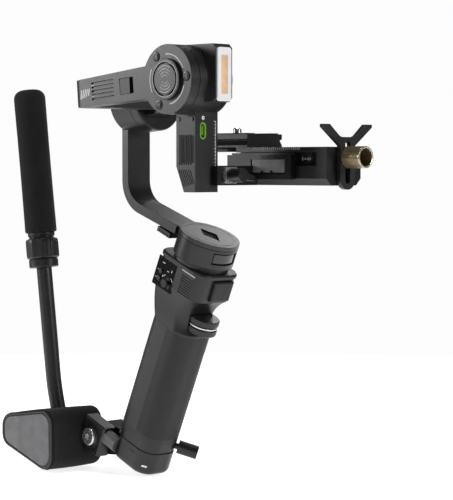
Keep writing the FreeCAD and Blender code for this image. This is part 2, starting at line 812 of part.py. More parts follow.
def trigger():
    """Finger trigger on the front of the head, which swings about its upper edge."""
    piece = Piece("trigger", HANDLE)
    piece.pad("YZ", [trigger_outline("0")], "head_front_x - trigger_thick + trigger_travel",
              "head_front_x + trigger_proud")
    piece.round("trigger_round", level_with("x", "head_front_x + trigger_proud"))
    pin = circle("head_front_x - trigger_thick + trigger_travel + trigger_pin_inset",
                 "trigger_top - trigger_pin_inset", "trigger_pin_radius")
    piece.cut("XZ", [pin], "trigger_y - trigger_half_y - cut_margin", "trigger_y + trigger_half_y + cut_margin")


def control_panel():
    """Glossy control plate let into the rear of the right-hand side."""
    piece = Piece("control_panel", HANDLE)
    piece.pad("XZ", [panel_outline()], "-head_half_y", "-head_half_y + trim_thick")
    piece.cut("XZ", [circle("stick_x", "stick_z", "stick_well_radius")],
              "-head_half_y", "-head_half_y + trim_thick")
    piece.cut("XZ", [key_circle(index, "key_radius + running_gap") for index in KEYS],
              "-head_half_y", "-head_half_y + trim_thick")


def key_circle(index, radius):
    return circle("key_x", f"key_low_z + {index}*key_pitch", radius)


def thumb_stick():
    """Short joystick standing out of its round well."""
    piece = Piece("thumb_stick", HANDLE)
    cap = "-head_half_y - stick_length"
    piece.pad("XZ", [circle("stick_x", "stick_z", "stick_neck_radius")], f"{cap} + stick_cap",
              "-head_half_y + trim_thick - stick_gap")
    piece.pad("XZ", [circle("stick_x", "stick_z", "stick_radius")], cap, f"{cap} + stick_cap")
    piece.round("stick_cap/3", level_with("y", cap))
    pin = circle("-head_half_y + trim_thick - stick_gap - stick_pin_radius", "stick_z", "stick_pin_radius")
    piece.pad("YZ", [pin], "stick_x - stick_pin_half_x", "stick_x + stick_pin_half_x")


def panel_key(index, label):
    """One round push button of the control panel, with room behind it to travel."""
    piece = Piece(label, HANDLE)
    piece.pad("XZ", [key_circle(index, "key_radius")], "-head_half_y - key_high",
              "-head_half_y + trim_thick - key_travel - stick_gap")
    piece.round("key_high/3", level_with("y", "-head_half_y - key_high"))


def main_board():
    """Control circuit board inside the head."""
    piece = Piece("main_board", HANDLE)
    board = rectangle("-board_half_x", "board_half_x", "-board_half_y", "board_half_y")
    piece.pad("XY", [board], "head_shelf_z + head_wall", "head_shelf_z + head_wall + board_thick")


# ---------------------------------------------------------------- pan motor
def pan_motor_case():
    """Fixed cup of the pan motor, with a window in its front wall."""
    piece = Piece("pan_motor_case", HANDLE)
    piece.pad("XY", [circle("0", "0", "motor_radius")], "pan_motor_base", "pan_motor_top")
    piece.cut("XY", [circle("0", "0", "motor_radius - motor_wall")],
              "pan_motor_base + motor_wall", "pan_motor_top")
    piece.cut("YZ", [window_outline("0")], "motor_radius/2", "motor_radius + cut_margin")
    piece.bevel("edge_round/2", level_with("z", "pan_motor_base"), wide("motor_radius"))


def window_outline(shrink):
    return rectangle(f"-window_half_y + {shrink}", f"window_half_y - {shrink}",
                     f"window_low + {shrink}", f"window_high - {shrink}")


def pan_motor_light():
    """Status light that follows the round wall behind the window of the pan motor."""
    piece = Piece("pan_motor_light", HANDLE)
    low = "window_low + light_inset"
    high = "window_high - light_inset"
    half_y = "(window_half_y - light_inset)"
    rings = [circle("0", "0", "motor_radius - light_sunk"), circle("0", "0", "motor_radius - motor_wall")]
    piece.pad("XY", rings, low, high)
    outside = [("-motor_radius", "-motor_radius"), ("motor_radius", "-motor_radius"), ("motor_radius", f"-{half_y}"),
               ("0", f"-{half_y}"), ("0", half_y), ("motor_radius", half_y), ("motor_radius", "motor_radius"),
               ("-motor_radius", "motor_radius")]
    piece.cut("XY", [outside], low, high)


def pan_stator():
    """Wound stator ring standing in the pan motor's cup."""
    piece = Piece("pan_stator", HANDLE)
    rings = [circle("0", "0", "rotor_radius - magnet_gap"), circle("0", "0", "bearing_radius + shaft_gap")]
    piece.pad("XY", rings, "pan_motor_base + motor_wall", "pan_motor_base + motor_wall + rotor_high")


def pan_bearing():
    """Ball bearing of the pan motor, drawn as its closed ring."""
    piece = Piece("pan_bearing", HANDLE)
    rings = [circle("0", "0", "bearing_radius"), circle("0", "0", "axle_radius + shaft_gap")]
    piece.pad("XY", rings, "pan_motor_base + motor_wall", "pan_motor_base + motor_wall + bearing_high")


# ---------------------------------------------------------------- pan arm
def upright_point(level_x, level_z):
    """Handle-frame place of a point given in the level frame."""
    return (f"({level_x})*cos(lean) - ({level_z})*sin(lean)", f"({level_x})*sin(lean) + ({level_z})*cos(lean)")


def level_x(x, z):
    """Level-frame X of a point given in the handle frame."""
    return f"(({x})*cos(lean) + ({z})*sin(lean))"


def level_z(x, z):
    """Level-frame Z of a point given in the handle frame."""
    return f"(({z})*cos(lean) - ({x})*sin(lean))"


def leg_corner(upright_x, x, z):
    """Where a leg edge that starts at a handle-frame point meets one face of the upright."""
    rise = f"({level_x(x, z)} - ({upright_x}))*tan(leg_rise)"
    return upright_point(upright_x, f"{level_z(x, z)} + {rise}")


def pan_arm():
    """Bent arm: a disc over the pan motor, a leg running back and a vertical upright."""
    piece = Piece("pan_arm", HANDLE)
    low = "pan_motor_top + running_gap"
    high = f"{low} + pan_disc_thick"
    root = ("-leg_root_x", f"{high} - leg_drop")
    outside = "-motor_radius - leg_clear"
    foot = (outside, f"{high} - leg_drop - arm_thick")
    rear_x = "upright_front_x - upright_thick"
    top = "axes_z - upright_drop"
    inner = leg_corner("upright_front_x", *root)
    outer = leg_corner(rear_x, *foot)
    side = [("0", low), ("0", high), ("-leg_root_x", high), root, inner,
            upright_point("upright_front_x", top), upright_point(rear_x, top),
            outer, foot, (outside, low)]
    piece.pad("XZ", [side], "-arm_half_width", "arm_half_width")
    piece.round("bend_inner", along("y"), near("x", inner[0]), near("z", inner[1]))
    piece.round("bend_inner + arm_thick", along("y"), near("x", outer[0]), near("z", outer[1]))
    piece.pad("XY", [circle("0", "0", "motor_radius")], low, high)
    piece.pad("XY", [circle("0", "0", "axle_radius")], "pan_motor_base + motor_wall + floor_gap", low)
    lozenge = [("-lozenge_half_x", "0"), ("0", "-lozenge_half_y"), ("lozenge_half_x", "0"), ("0", "lozenge_half_y")]
    piece.cut("XY", [lozenge], f"{high} - lozenge_deep", high)


def pan_lock_slider():
    """Ridged lock slider under the right edge of the pan arm's leg."""
    piece = Piece("pan_lock_slider", HANDLE)
    top = "pan_motor_top + running_gap + pan_disc_thick - leg_drop - arm_thick - pan_lock_sink"
    body = rectangle("-pan_lock_x - pan_lock_long", "-pan_lock_x", f"{top} - pan_lock_high", top)
    piece.pad("XZ", [body], "-arm_half_width", "-arm_half_width + pan_lock_wide")
    grooves = []
    for index in SLIDER_RIBS:
        left = f"-pan_lock_x - pan_lock_long + {index}*pan_lock_pitch"
        grooves.append(rectangle(left, f"{left} + rib_wide", f"{top} - pan_lock_high", f"{top} - cut_margin"))
    piece.cut("XZ", grooves, "-arm_half_width", "-arm_half_width + rib_deep")


# ---------------------------------------------------------------- roll motor
def roll_motor_case():
    """Fixed cup of the roll motor on top of the upright."""
    piece = Piece("roll_motor_case", ROLL)
    piece.pad("YZ", [circle("0", "0", "roll_radius")], "roll_back_x", "roll_split_x")
    piece.cut("YZ", [circle("0", "0", "roll_radius - motor_wall*2")], "roll_back_x + roll_floor", "roll_split_x")
    piece.round("edge_round", level_with("x", "roll_back_x"))


def roll_stator():
    """Wound stator ring of the roll motor."""
    piece = Piece("roll_stator", ROLL)
    rings = [circle("0", "0", "rotor_radius - magnet_gap"), circle("0", "0", "bearing_radius")]
    piece.pad("YZ", rings, "roll_back_x + roll_floor", "roll_back_x + roll_floor + rotor_high")


def roll_rotor_cap():
    """Turning cap of the roll motor, with its axle and the guide that holds the roll arm."""
    piece = Piece("roll_rotor_cap", ROLL)
    piece.pad("YZ", [circle("0", "0", "roll_radius")], "roll_split_x + running_gap", "roll_front_x")
    piece.pad("YZ", [circle("0", "0", "axle_radius")], "roll_back_x + roll_floor + floor_gap",
              "roll_split_x + running_gap")
    piece.round("edge_round", level_with("x", "roll_front_x"))
    piece.pad("YZ", [rectangle("-guide_half_y", "guide_half_y", "-cross_half_z - guide_wall",
                               "cross_half_z + guide_wall")], "roll_front_x", "cross_front_x - guide_inset")
    piece.cut("YZ", [rectangle("-guide_half_y - cut_margin", "guide_half_y + cut_margin", "-cross_half_z - slider_gap",
                               "cross_half_z + slider_gap")],
              "cross_front_x - cross_thick - slider_gap", "cross_front_x")


def roll_lock_slider():
    """Raised lock slider on the back of the upright."""
    piece = Piece("roll_lock_slider", LEVEL)
    rear_x = "upright_front_x - upright_thick"
    outline = rectangle("-roll_lock_half_y", "roll_lock_half_y", "roll_lock_low", "roll_lock_high")
    piece.pad("YZ", [outline], f"{rear_x} - slider_gap - roll_lock_thick", f"{rear_x} - slider_gap")
    piece.round("roll_lock_thick/2", level_with("x", f"{rear_x} - slider_gap - roll_lock_thick"))


# ---------------------------------------------------------------- roll arm
def roll_arm():
    """L-shaped arm: a cross leg through the roll motor's guide and a long leg to the tilt motor."""
    piece = Piece("roll_arm", ROLL)
    inner_y = "-leg_out_y + leg_thick"
    cross = rectangle("cross_front_x - cross_thick", "cross_front_x", "-leg_out_y", "cross_end_y")
    piece.pad("XY", [cross], "-cross_half_z", "cross_half_z")
    leg = [("cross_front_x - cross_thick", "-leg_rear_half_z"), ("leg_front_x", "-leg_front_half_z"),
           ("0", "-leg_front_half_z"), ("0", "leg_front_half_z"), ("leg_front_x", "leg_front_half_z"),
           ("cross_front_x - cross_thick", "leg_rear_half_z")]
    piece.pad("XZ", [leg], "-leg_out_y", inner_y)
    piece.round("leg_corner", along("z"), short_of("x", "cross_front_x - cross_thick + cut_margin"),
                short_of("y", "-leg_out_y + cut_margin"))
    piece.cut("XZ", [circle("0", "0", "cap_radius + 2*running_gap")], "-cap_split_y", inner_y)
    piece.pad("XZ", [circle("0", "0", "cap_radius")], "-leg_out_y", "-cap_split_y")
    latch = rectangle("latch_x - latch_half_x", "latch_x + latch_half_x", "-latch_half_z", "latch_half_z")
    piece.cut("XZ", [latch], "-leg_out_y", "-leg_out_y + latch_deep")
    vents = [rectangle("vent_left", "vent_right", f"{index}*vent_pitch - vent_high/2",
                       f"{index}*vent_pitch + vent_high/2") for index in VENT_ROWS]
    piece.cut("XZ", vents, "-leg_out_y", "-leg_out_y + vent_deep")
    piece.cut("XZ", [circle("0", "0", "cap_radius - motor_wall*2")], "-cap_split_y - cap_hollow", "-cap_split_y")


def tilt_hub_cap():
    """Raised ring with a sunk groove and a plain disc over the end of the tilt motor."""
    piece = Piece("tilt_hub_cap", ROLL)
    piece.pad("XZ", [circle("0", "0", "hub_ring_radius")], "-leg_out_y - hub_proud", "-leg_out_y")
    piece.round("hub_proud/4", level_with("y", "-leg_out_y - hub_proud"))
    piece.cut("XZ", [circle("0", "0", "hub_radius + hub_ring_gap"), circle("0", "0", "hub_radius")],
              "-leg_out_y - hub_proud", "-leg_out_y - hub_floor")


def screw_heads(label, frame, face, places, radius):
    """A set of equal screws whose heads stand just proud of a face that looks along -Y."""
    piece = Piece(label, frame)
    piece.pad("XZ", [circle(x, z, radius) for x, z in places], f"{face} - screw_proud", face)


def hub_screws():
    """Three screws round the hub ring, 120 degrees apart."""
    places = [(f"hub_screw_circle*cos({angle})", f"hub_screw_circle*sin({angle})") for angle in HUB_SCREW_ANGLES]
    screw_heads("hub_screws", ROLL, "-leg_out_y", places, "screw_radius")


def tilt_lock_slider():
    """Lock slider in the latch window of the long leg."""
    piece = Piece("tilt_lock_slider", ROLL)
    outline = rectangle("latch_x - latch_half_x + slider_gap", "latch_x + latch_half_x - slider_gap - lock_travel",
                        "-latch_half_z + slider_gap", "latch_half_z - slider_gap")
    piece.pad("XZ", [outline], "-leg_out_y + slider_gap", "-leg_out_y + latch_deep - slider_gap")


def tilt_stator():
    """Wound stator ring of the tilt motor."""
    piece = Piece("tilt_stator", ROLL)
    rings = [circle("0", "0", "rotor_radius - magnet_gap"), circle("0", "0", "bearing_radius")]
    piece.pad("XZ", rings, "-cap_split_y - cap_hollow", "-cap_split_y - running_gap")


# ---------------------------------------------------------------- tilt stage
def tilt_arm():
    """Housing that the tilt motor turns: a round back plate, a hanging arm and the light's box."""
    piece = Piece("tilt_arm", STAGE)
    piece.pad("XZ", [circle("0", "0", "cap_radius")], "-stage_split_y", "-stage_in_y")
    hanging = [("-stage_half_x", "0"), ("-stage_half_x", "stage_slant_z"), ("stage_slant_x", "stage_bottom"),
               ("stage_half_x", "stage_bottom"), ("stage_half_x", "0")]
    piece.pad("XZ", [hanging], "-arm_out_y", "-stage_in_y")
    head = rectangle("0", "stage_head_front", "stage_head_bottom", "stage_head_top")
    piece.pad("XZ", [head], "-arm_out_y", "-stage_head_in_y")
    piece.bevel("head_bevel", along("y"), beyond("x", "stage_head_front - cut_margin"))
    piece.pad("XZ", [circle("0", "0", "axle_radius")], "-cap_split_y - cap_hollow + floor_gap", "-stage_split_y")
    piece.cut("YZ", [usb_outline("0")], "stage_half_x - usb_deep", "stage_half_x")
    cover = rectangle("-stage_half_x", "stage_half_x - cover_margin", "stage_bottom", "cover_top")
    piece.cut("XZ", [cover], "-arm_out_y", "-arm_out_y + stage_cover_thick")
    bar = rectangle("-slide_half_x - running_gap", "slide_half_x + running_gap", "slide_bottom", "slide_top")
    piece.cut("XZ", [bar], "-stage_in_y - slide_thick", "-stage_in_y")


def usb_outline(shrink):
    return rounded(f"usb_y - usb_half_y + {shrink}", f"usb_y + usb_half_y - {shrink}",
                   f"usb_z - usb_half_z + {shrink}", f"usb_z + usb_half_z - {shrink}", f"usb_round - {shrink}")


def usb_socket():
    """Coloured collar of the control socket on the front of the tilt arm."""
    piece = Piece("usb_socket", STAGE)
    piece.pad("YZ", [usb_outline("0"), usb_outline("usb_wall")], "stage_half_x - usb_deep", "stage_half_x")
    piece.pad("YZ", [usb_outline("0")], "stage_half_x - usb_deep", "stage_half_x - usb_deep + usb_wall")
    tongue = rectangle("usb_y - usb_tongue", "usb_y + usb_tongue", "usb_z - usb_half_z/2", "usb_z + usb_half_z/2")
    piece.pad("YZ", [tongue], "stage_half_x - usb_deep", "stage_half_x - usb_wall")


def tilt_arm_cover():
    """Side cover of the tilt arm, fluted in the middle."""
    piece = Piece("tilt_arm_cover", STAGE)
    outline = [("-stage_half_x", "cover_top"), ("-stage_half_x", "stage_slant_z"), ("stage_slant_x", "stage_bottom"),
               ("stage_half_x - cover_margin", "stage_bottom"), ("stage_half_x - cover_margin", "cover_top")]
    piece.pad("XZ", [outline], "-arm_out_y", "-arm_out_y + stage_cover_thick")
    flutes = [rectangle(f"-stage_half_x + flute_margin + {index}*flute_pitch",
                        f"-stage_half_x + flute_margin + {index}*flute_pitch + flute_wide",
                        "flute_bottom", "flute_top") for index in FLUTES]
    piece.cut("XZ", flutes, "-arm_out_y", "-arm_out_y + flute_deep")


def cover_screws():
    """Two screws at the top of the tilt arm's cover."""
    places = [(f"-stage_half_x + {index}*cover_screw_pitch + cover_screw_inset", "cover_screw_z") for index in (0, 1)]
    screw_heads("cover_screws", STAGE, "-arm_out_y", places, "screw_radius")


def fill_light_frame():
    """White frame of the fill light on the front of the tilt stage."""
    piece = Piece("fill_light_frame", STAGE)
    piece.pad("YZ", [light_outline("light_half_y", "light_half_z")], "stage_head_front",
              "stage_head_front + light_frame_thick")
    piece.round("light_corner", along("x"))
    piece.cut("YZ", [light_outline("led_half_y", "led_half_z")], "stage_head_front",
              "stage_head_front + light_frame_thick")


def light_outline(half_y, half_z):
    return rectangle(f"light_y - {half_y}", f"light_y + {half_y}", f"light_z - {half_z}", f"light_z + {half_z}")


def fill_light_lens():
    """Warm diffuser of the fill light."""
    piece = Piece("fill_light_lens", STAGE)
    piece.pad("YZ", [light_outline("led_half_y", "led_half_z")], "stage_head_front",
              "stage_head_front + light_frame_thick - lens_sunk")


def height_rail():
    """Upright rail let into the inner side of the tilt arm, for the camera's height."""
    piece = Piece("height_rail", STAGE)
    piece.pad("XZ", [rectangle("-slide_half_x", "slide_half_x", "slide_bottom", "slide_top")],
              "-stage_in_y - slide_thick", "-stage_in_y + slide_proud")
    sides = [rectangle("-slide_half_x", "-slide_bar_half_x", "slide_bottom", "slide_top"),
             rectangle("slide_bar_half_x", "slide_half_x", "slide_bottom", "slide_top")]
    piece.cut("XZ", sides, "-stage_in_y", "-stage_in_y + slide_proud/2")


# ---------------------------------------------------------------- carriage and rail clamp
def carriage():
    """Block that rides on the height rail, with the long wall that grips the support rail."""
    piece = Piece("carriage", STAGE)
    block = rectangle("carriage_back", "carriage_front", "carriage_low", "carriage_high")
    piece.pad("XZ", [block], "-stage_in_y + running_gap", "-rail_half_y - running_gap")
    lip = rectangle("stage_half_x + running_gap", "carriage_front", "carriage_low", "carriage_high")
    piece.pad("XZ", [lip], "-stage_in_y - carriage_lip", "-stage_in_y + running_gap")
    clear = rectangle("-slide_half_x - running_gap", "slide_half_x + running_gap", "carriage_low", "carriage_high")
    piece.cut("XZ", [clear], "-stage_in_y + running_gap", "-stage_in_y + slide_proud + running_gap")
    wall = rectangle("carriage_back", "clamp_front", "clamp_bottom", "clamp_top")
    piece.pad("XZ", [wall], "-clamp_out_y", "-rail_half_y - running_gap")
    hook = rectangle("carriage_back", "clamp_front", "rail_waist_z + running_gap", "rail_flange_z - running_gap")
    piece.pad("XZ", [hook], "-rail_half_y - running_gap", "-rail_waist_half_y - running_gap")
    window = rectangle("jaw_back - jaw_gap", "jaw_front + jaw_gap", "jaw_low - jaw_gap", "jaw_high")
    piece.cut("XZ", [window], "-clamp_out_y", "-clamp_out_y + jaw_thick")
    piece.cut("YZ", [circle("lever_y", "lever_z", "spindle_radius + shaft_gap")],
              "carriage_front - spindle_deep", "carriage_front")


def clamp_jaw():
    """Grey jaw let into the wall of the carriage, with two notches in its lower edge."""
    piece = Piece("clamp_jaw", STAGE)
    piece.pad("XZ", [rectangle("jaw_back", "jaw_front", "jaw_low", "jaw_high")],
              "-clamp_out_y", "-clamp_out_y + jaw_thick")
    places = ("jaw_back + jaw_notch_rear", "jaw_back + jaw_notch_front")
    notches = [circle(place, "jaw_low", "jaw_notch") for place in places]
    piece.cut("XZ", notches, "-clamp_out_y", "-clamp_out_y + jaw_thick")


def lever_bracket():
    """Bright bracket on the carriage that holds the clamp lever's spindle."""
    piece = Piece("lever_bracket", STAGE)
    plate = rectangle("lever_y - bracket_half", "lever_y + bracket_half", "lever_z - bracket_half",
                      "lever_z + bracket_half")
    piece.pad("YZ", [plate, circle("lever_y", "lever_z", "spindle_radius + shaft_gap")],
              "carriage_front", "carriage_front + bracket_thick")
    piece.round("edge_round", along("x"))


def clamp_lever():
    """Lever that locks the carriage's height."""
    piece = Piece("clamp_lever", STAGE)
    back = "carriage_front + bracket_thick + running_gap"
    piece.pad("YZ", [circle("lever_y", "lever_z", "lever_hub_radius")], back, "lever_hub_front")
    piece.pad("YZ", [circle("lever_y", "lever_z", "spindle_radius")], "carriage_front - spindle_deep", back)
    arm = [("lever_y", "lever_z + lever_hub_radius*0.7"), ("lever_y + lever_reach", "lever_z - lever_drop"),
           ("lever_y + lever_reach", "lever_z - lever_drop - lever_thick"), ("lever_y", "lever_z - lever_hub_radius*0.7")]
    piece.pad("YZ", [arm], "lever_hub_front - lever_thick", "lever_hub_front")


# ---------------------------------------------------------------- camera support
def support_rail():
    """Long rail under the lens: a flange, an undercut waist with a scale, and a deeper base."""
    piece = Piece("support_rail", STAGE)
    half = [("rail_half_y", "rail_top"), ("rail_half_y", "rail_flange_z"), ("rail_waist_half_y", "rail_flange_z"),
            ("rail_waist_half_y", "rail_waist_z"), ("rail_base_half_y", "rail_waist_z"),
            ("rail_base_half_y", "rail_bottom + rail_bevel"), ("rail_base_half_y - rail_bevel", "rail_bottom")]
    other = [(f"-({y})", z) for y, z in reversed(half)]
    piece.pad("YZ", [half + other], "rail_back", "rail_front")
    for sign in ("-", ""):
        nose = [("rail_nose_x", f"{sign}rail_waist_half_y"), ("rail_nose_x + rail_nose_long", f"{sign}rail_half_y"),
                ("rail_front", f"{sign}rail_half_y"), ("rail_front", f"{sign}rail_waist_half_y")]
        piece.pad("XY", [nose], "rail_waist_z", "rail_flange_z")
    piece.cut("XZ", [rectangle("rail_back", "rail_slot_front", "rail_top - tongue_deep - running_gap", "rail_top")],
              "-tongue_half_y - running_gap", "tongue_half_y + running_gap")
    piece.cut("YZ", [circle("0", "knob_z", "knob_stud_radius + shaft_gap")], "rail_front - knob_hole_deep", "rail_front")


def camera_plate():
    """Quick-release plate with dovetail sides and a slot for the camera screw."""
    piece = Piece("camera_plate", STAGE)
    middle = "plate_bottom + (plate_top - plate_bottom)/2"
    half = [("plate_half_y", "plate_top"), ("plate_half_y", f"{middle} + plate_notch/2"),
            ("plate_half_y - plate_notch", middle), ("plate_half_y", "plate_bottom + plate_notch/2"),
            ("plate_half_y", "plate_bottom")]
    other = [(f"-({y})", z) for y, z in reversed(half)]
    piece.pad("YZ", [half + other], "plate_back", "plate_front")
    piece.pad("YZ", [rectangle("-tongue_half_y", "tongue_half_y", "plate_bottom - tongue_deep", "plate_bottom")],
              "plate_back", "plate_front")
    head_room = "plate_bottom + screw_head_thick + 2*running_gap"
    piece.cut("XY", [circle("screw_x", "0", "camera_screw_head + running_gap")],
              "plate_bottom - tongue_deep", head_room)
    piece.cut("XY", [circle("screw_x", "0", "camera_screw_radius + screw_play")], head_room, "plate_top")


def camera_pads():
    """Two rubber strips on top of the camera plate."""
    piece = Piece("camera_pads", STAGE)
    for sign in ("-1", "1"):
        outer = f"{sign}*(plate_half_y - pad_margin)"
        inner = f"{sign}*(camera_screw_head + pad_margin)"
        low, high = (outer, inner) if sign == "-1" else (inner, outer)
        strip = rectangle("plate_back + pad_margin", "plate_front - pad_margin", low, high)
        piece.pad("XY", [strip], "plate_top", "plate_top + camera_pad_thick")


def camera_screw():
    """Quarter-inch screw that fastens the camera to the plate."""
    piece = Piece("camera_screw", STAGE)
    head_top = "plate_bottom + running_gap + screw_head_thick"
    camera_face = "plate_top + camera_pad_thick"
    piece.pad("XY", [circle("screw_x", "0", "camera_screw_head")], "plate_bottom + running_gap", head_top)
    piece.pad("XY", [circle("screw_x", "0", "camera_screw_neck")], head_top, camera_face)
    piece.pad("XY", [circle("screw_x", "0", "camera_screw_radius")], camera_face, "plate_top + camera_screw_stand")
    piece.bevel("edge_round/2", level_with("z", "plate_top + camera_screw_stand"))


def lens_fork():
    """Lens support: a slotted stem that opens into two prongs."""
    piece = Piece("lens_fork", STAGE)
    rear = "rail_front + running_gap"
    front = f"{rear} + fork_thick"
    half = [("fork_stem_half_y", "fork_bottom"), ("fork_stem_half_y", "fork_elbow"),
            ("fork_tip_y", "fork_tip - fork_tip_thick"), ("fork_tip_y", "fork_tip"),
            ("fork_tip_y - fork_prong", "fork_tip"), ("fork_stem_half_y", "fork_crotch")]
    other = [(f"-({y})", z) for y, z in reversed(half)]
    piece.pad("YZ", [half + other], rear, front)
    piece.round("fork_stem_half_y - edge_round/4", along("x"), near("z", "fork_bottom"))
    piece.round("fork_stem_half_y", along("x"), near("z", "fork_crotch"))
    piece.cut("YZ", [circle("0", "fork_hole_z", "fork_slot_radius")], rear, front)
    slot = rounded("-fork_slot_radius", "fork_slot_radius", "fork_slot_low", "fork_slot_high",
                   "fork_slot_radius - slot_flat")
    piece.cut("YZ", [slot], rear, front)


def fork_knob():
    """Brass thumb screw that clamps the lens support to the rail's end."""
    piece = Piece("fork_knob", STAGE)
    front = "rail_front + running_gap + fork_thick + running_gap"
    piece.pad("YZ", [circle("0", "knob_z", "knob_radius")], front, f"{front} + knob_long")
    piece.cut("YZ", [circle("0", "knob_z", "knob_bore")], f"{front} + knob_long - knob_bore_deep",
              f"{front} + knob_long")
    piece.pad("YZ", [circle("0", "knob_z", "knob_stud_radius")], "rail_front + running_gap - knob_stud_depth", front)


# ---------------------------------------------------------------- wrist rest
def knuckle_corners():
    """The knuckle's outline in the handle frame."""
    return rectangle("-knuckle_back_x", "-knuckle_front_x", "knuckle_low_z", "knuckle_high_z")


def rest_knuckle():
    """Faceted block on the adapter's arm that carries the wrist rest."""
    piece = Piece("rest_knuckle", HANDLE)
    piece.pad("XZ", [knuckle_corners()], "-knuckle_out_y", "-arm_half_y - running_gap")
    piece.bevel("edge_round", level_with("y", "-knuckle_out_y"))
    piece.pad("XZ", [circle("-pivot_x", "pivot_z", "rest_washer_radius")],
              "-knuckle_out_y - rest_washer_thick", "-knuckle_out_y")
    piece.cut("XZ", [circle("-pivot_x", "pivot_z", "rest_bolt_radius")],
              "-knuckle_out_y - rest_washer_thick", "-arm_half_y")
    piece.cut("YZ", [circle("thumb_y", "thumb_z", "thumb_stem_radius + shaft_gap")],
              "-knuckle_front_x - thumb_stem_in", "-knuckle_front_x")


def rest_bolt():
    """Socket-head bolt through the knuckle and the adapter's arm."""
    piece = Piece("rest_bolt", HANDLE)
    face = "-knuckle_out_y - rest_washer_thick"
    piece.pad("XZ", [circle("-pivot_x", "pivot_z", "rest_bolt_head")], f"{face} - bolt_head_high", face)
    piece.round("bolt_head_high/2", level_with("y", f"{face} - bolt_head_high"))
    piece.cut("XZ", [hexagon("-pivot_x", "pivot_z", "bolt_key_radius")], f"{face} - bolt_head_high",
              f"{face} - bolt_head_high + bolt_key_deep")
    piece.pad("XZ", [circle("-pivot_x", "pivot_z", "rest_bolt_radius")], face, "arm_half_y")


def hexagon(x, y, radius):
    return [(f"({x}) + ({radius})*cos({angle})", f"({y}) + ({radius})*sin({angle})") for angle in range(0, 360, 60)]


def rest_thumb_knob():
    """Fluted thumb screw in the front of the knuckle."""
    piece = Piece("rest_thumb_knob", HANDLE)
    front = "-knuckle_front_x + slider_gap"
    piece.pad("YZ", [circle("thumb_y", "thumb_z", "thumb_radius")], front, f"{front} + thumb_long")
    piece.pad("YZ", [circle("thumb_y", "thumb_z", "thumb_stem_radius")],
              "-knuckle_front_x - thumb_stem_in + floor_gap", front)
    piece.cut("YZ", [circle("thumb_y", "thumb_z", "thumb_radius - edge_round")],
              f"{front} + thumb_long - thumb_hollow", f"{front} + thumb_long")


def rest_outline():
    """Rounded three-sided outline of the wrist rest, in the level frame."""
    return [("pad_rear_x", "pad_rear_top"), ("pad_front_x", "pad_front_top"),
            ("pad_front_x", "pad_front_bottom"), ("pad_rear_x", "pad_rear_bottom")]


def rest_pad():
    """Wrist rest barrel, notched for the knuckle; the sling grip's rod is moulded into it."""
    piece = Piece("rest_pad", LEVEL)
    piece.pad("XZ", [rest_outline()], "pad_right_y", "pad_left_y")
    piece.round("pad_corner", along("y"))
    piece.round("pad_end_round", level_with("y", "pad_left_y"))
    notch = [(level_x(x, z), level_z(x, z)) for x, z in knuckle_corners()]
    piece.cut("XZ", [notch], "-knuckle_out_y - cut_margin", "-arm_half_y + cut_margin")
    pivot = circle(level_x("-pivot_x", "pivot_z"), level_z("-pivot_x", "pivot_z"), "lug_relief")
    piece.cut("XZ", [pivot], "-arm_half_y - running_gap", "pad_left_y")


def pad_end_cap():
    """Smooth face plate on the right-hand end of the wrist rest."""
    piece = Piece("pad_end_cap", LEVEL)
    piece.pad("XZ", [rest_outline()], "pad_right_y - cap_proud", "pad_right_y")
    piece.round("pad_corner", along("y"))
    piece.round("cap_proud/2", level_with("y", "pad_right_y - cap_proud"))


# ---------------------------------------------------------------- sling grip
def sling_rod():
    """Bent tube from the wrist rest up into the sling grip."""
    piece = Piece("sling_rod", ROD)
    piece.pad("XY", [circle("0", "0", "rod_radius")], "0", "rod_length")
    sketch = piece.sketch("XY", [circle("0", "0", "rod_radius")], "0")
    reach = value("rod_curve")
    axis_line = Part.LineSegment(FreeCAD.Vector(reach, -1, 0), FreeCAD.Vector(reach, 1, 0))
    line = sketch.addGeometry(axis_line, True)
    sketch.addConstraint(Sketcher.Constraint("Vertical", line))
    piece.fix_point(sketch, line, 1, "rod_curve", "-1")
    bend = piece.body.newObject("PartDesign::Revolution", "sling_rod_bend")
    bend.Profile = sketch
    bend.ReferenceAxis = (sketch, ["Axis0"])
    bend.setExpression("Angle", bind("rod_bend"))
    bend.Reversed = True
    DOC.recompute()


def twist_collar():
    """Ribbed collar that locks the sling grip's length."""
    piece = Piece("twist_collar", ROD)
    piece.pad("XY", [circle("0", "0", "collar_radius"), circle("0", "0", "rod_radius + collar_gap")],
              "collar_low", "collar_low + collar_long")
    piece.round("edge_round", wide("collar_radius"))


def sling_tube():
    """Closed tube inside the foam, which slides over the rod."""
    piece = Piece("sling_tube", ROD)
    low = "collar_low + collar_long + slider_gap"
    piece.pad("XY", [circle("0", "0", "tube_outer")], low, "foam_top - foam_cap")
    piece.cut("XY", [circle("0", "0", "rod_radius + shaft_gap")], low, "foam_top - foam_cap - tube_end")


def foam_grip():
    """Soft round-topped sleeve of the sling grip."""
    piece = Piece("foam_grip", ROD)
    low = "collar_low + collar_long + slider_gap"
    piece.pad("XY", [circle("0", "0", "foam_radius")], low, "foam_top")
    piece.cut("XY", [circle("0", "0", "tube_outer")], low, "foam_top - foam_cap")
    piece.round("foam_round", level_with("z", "foam_top"))


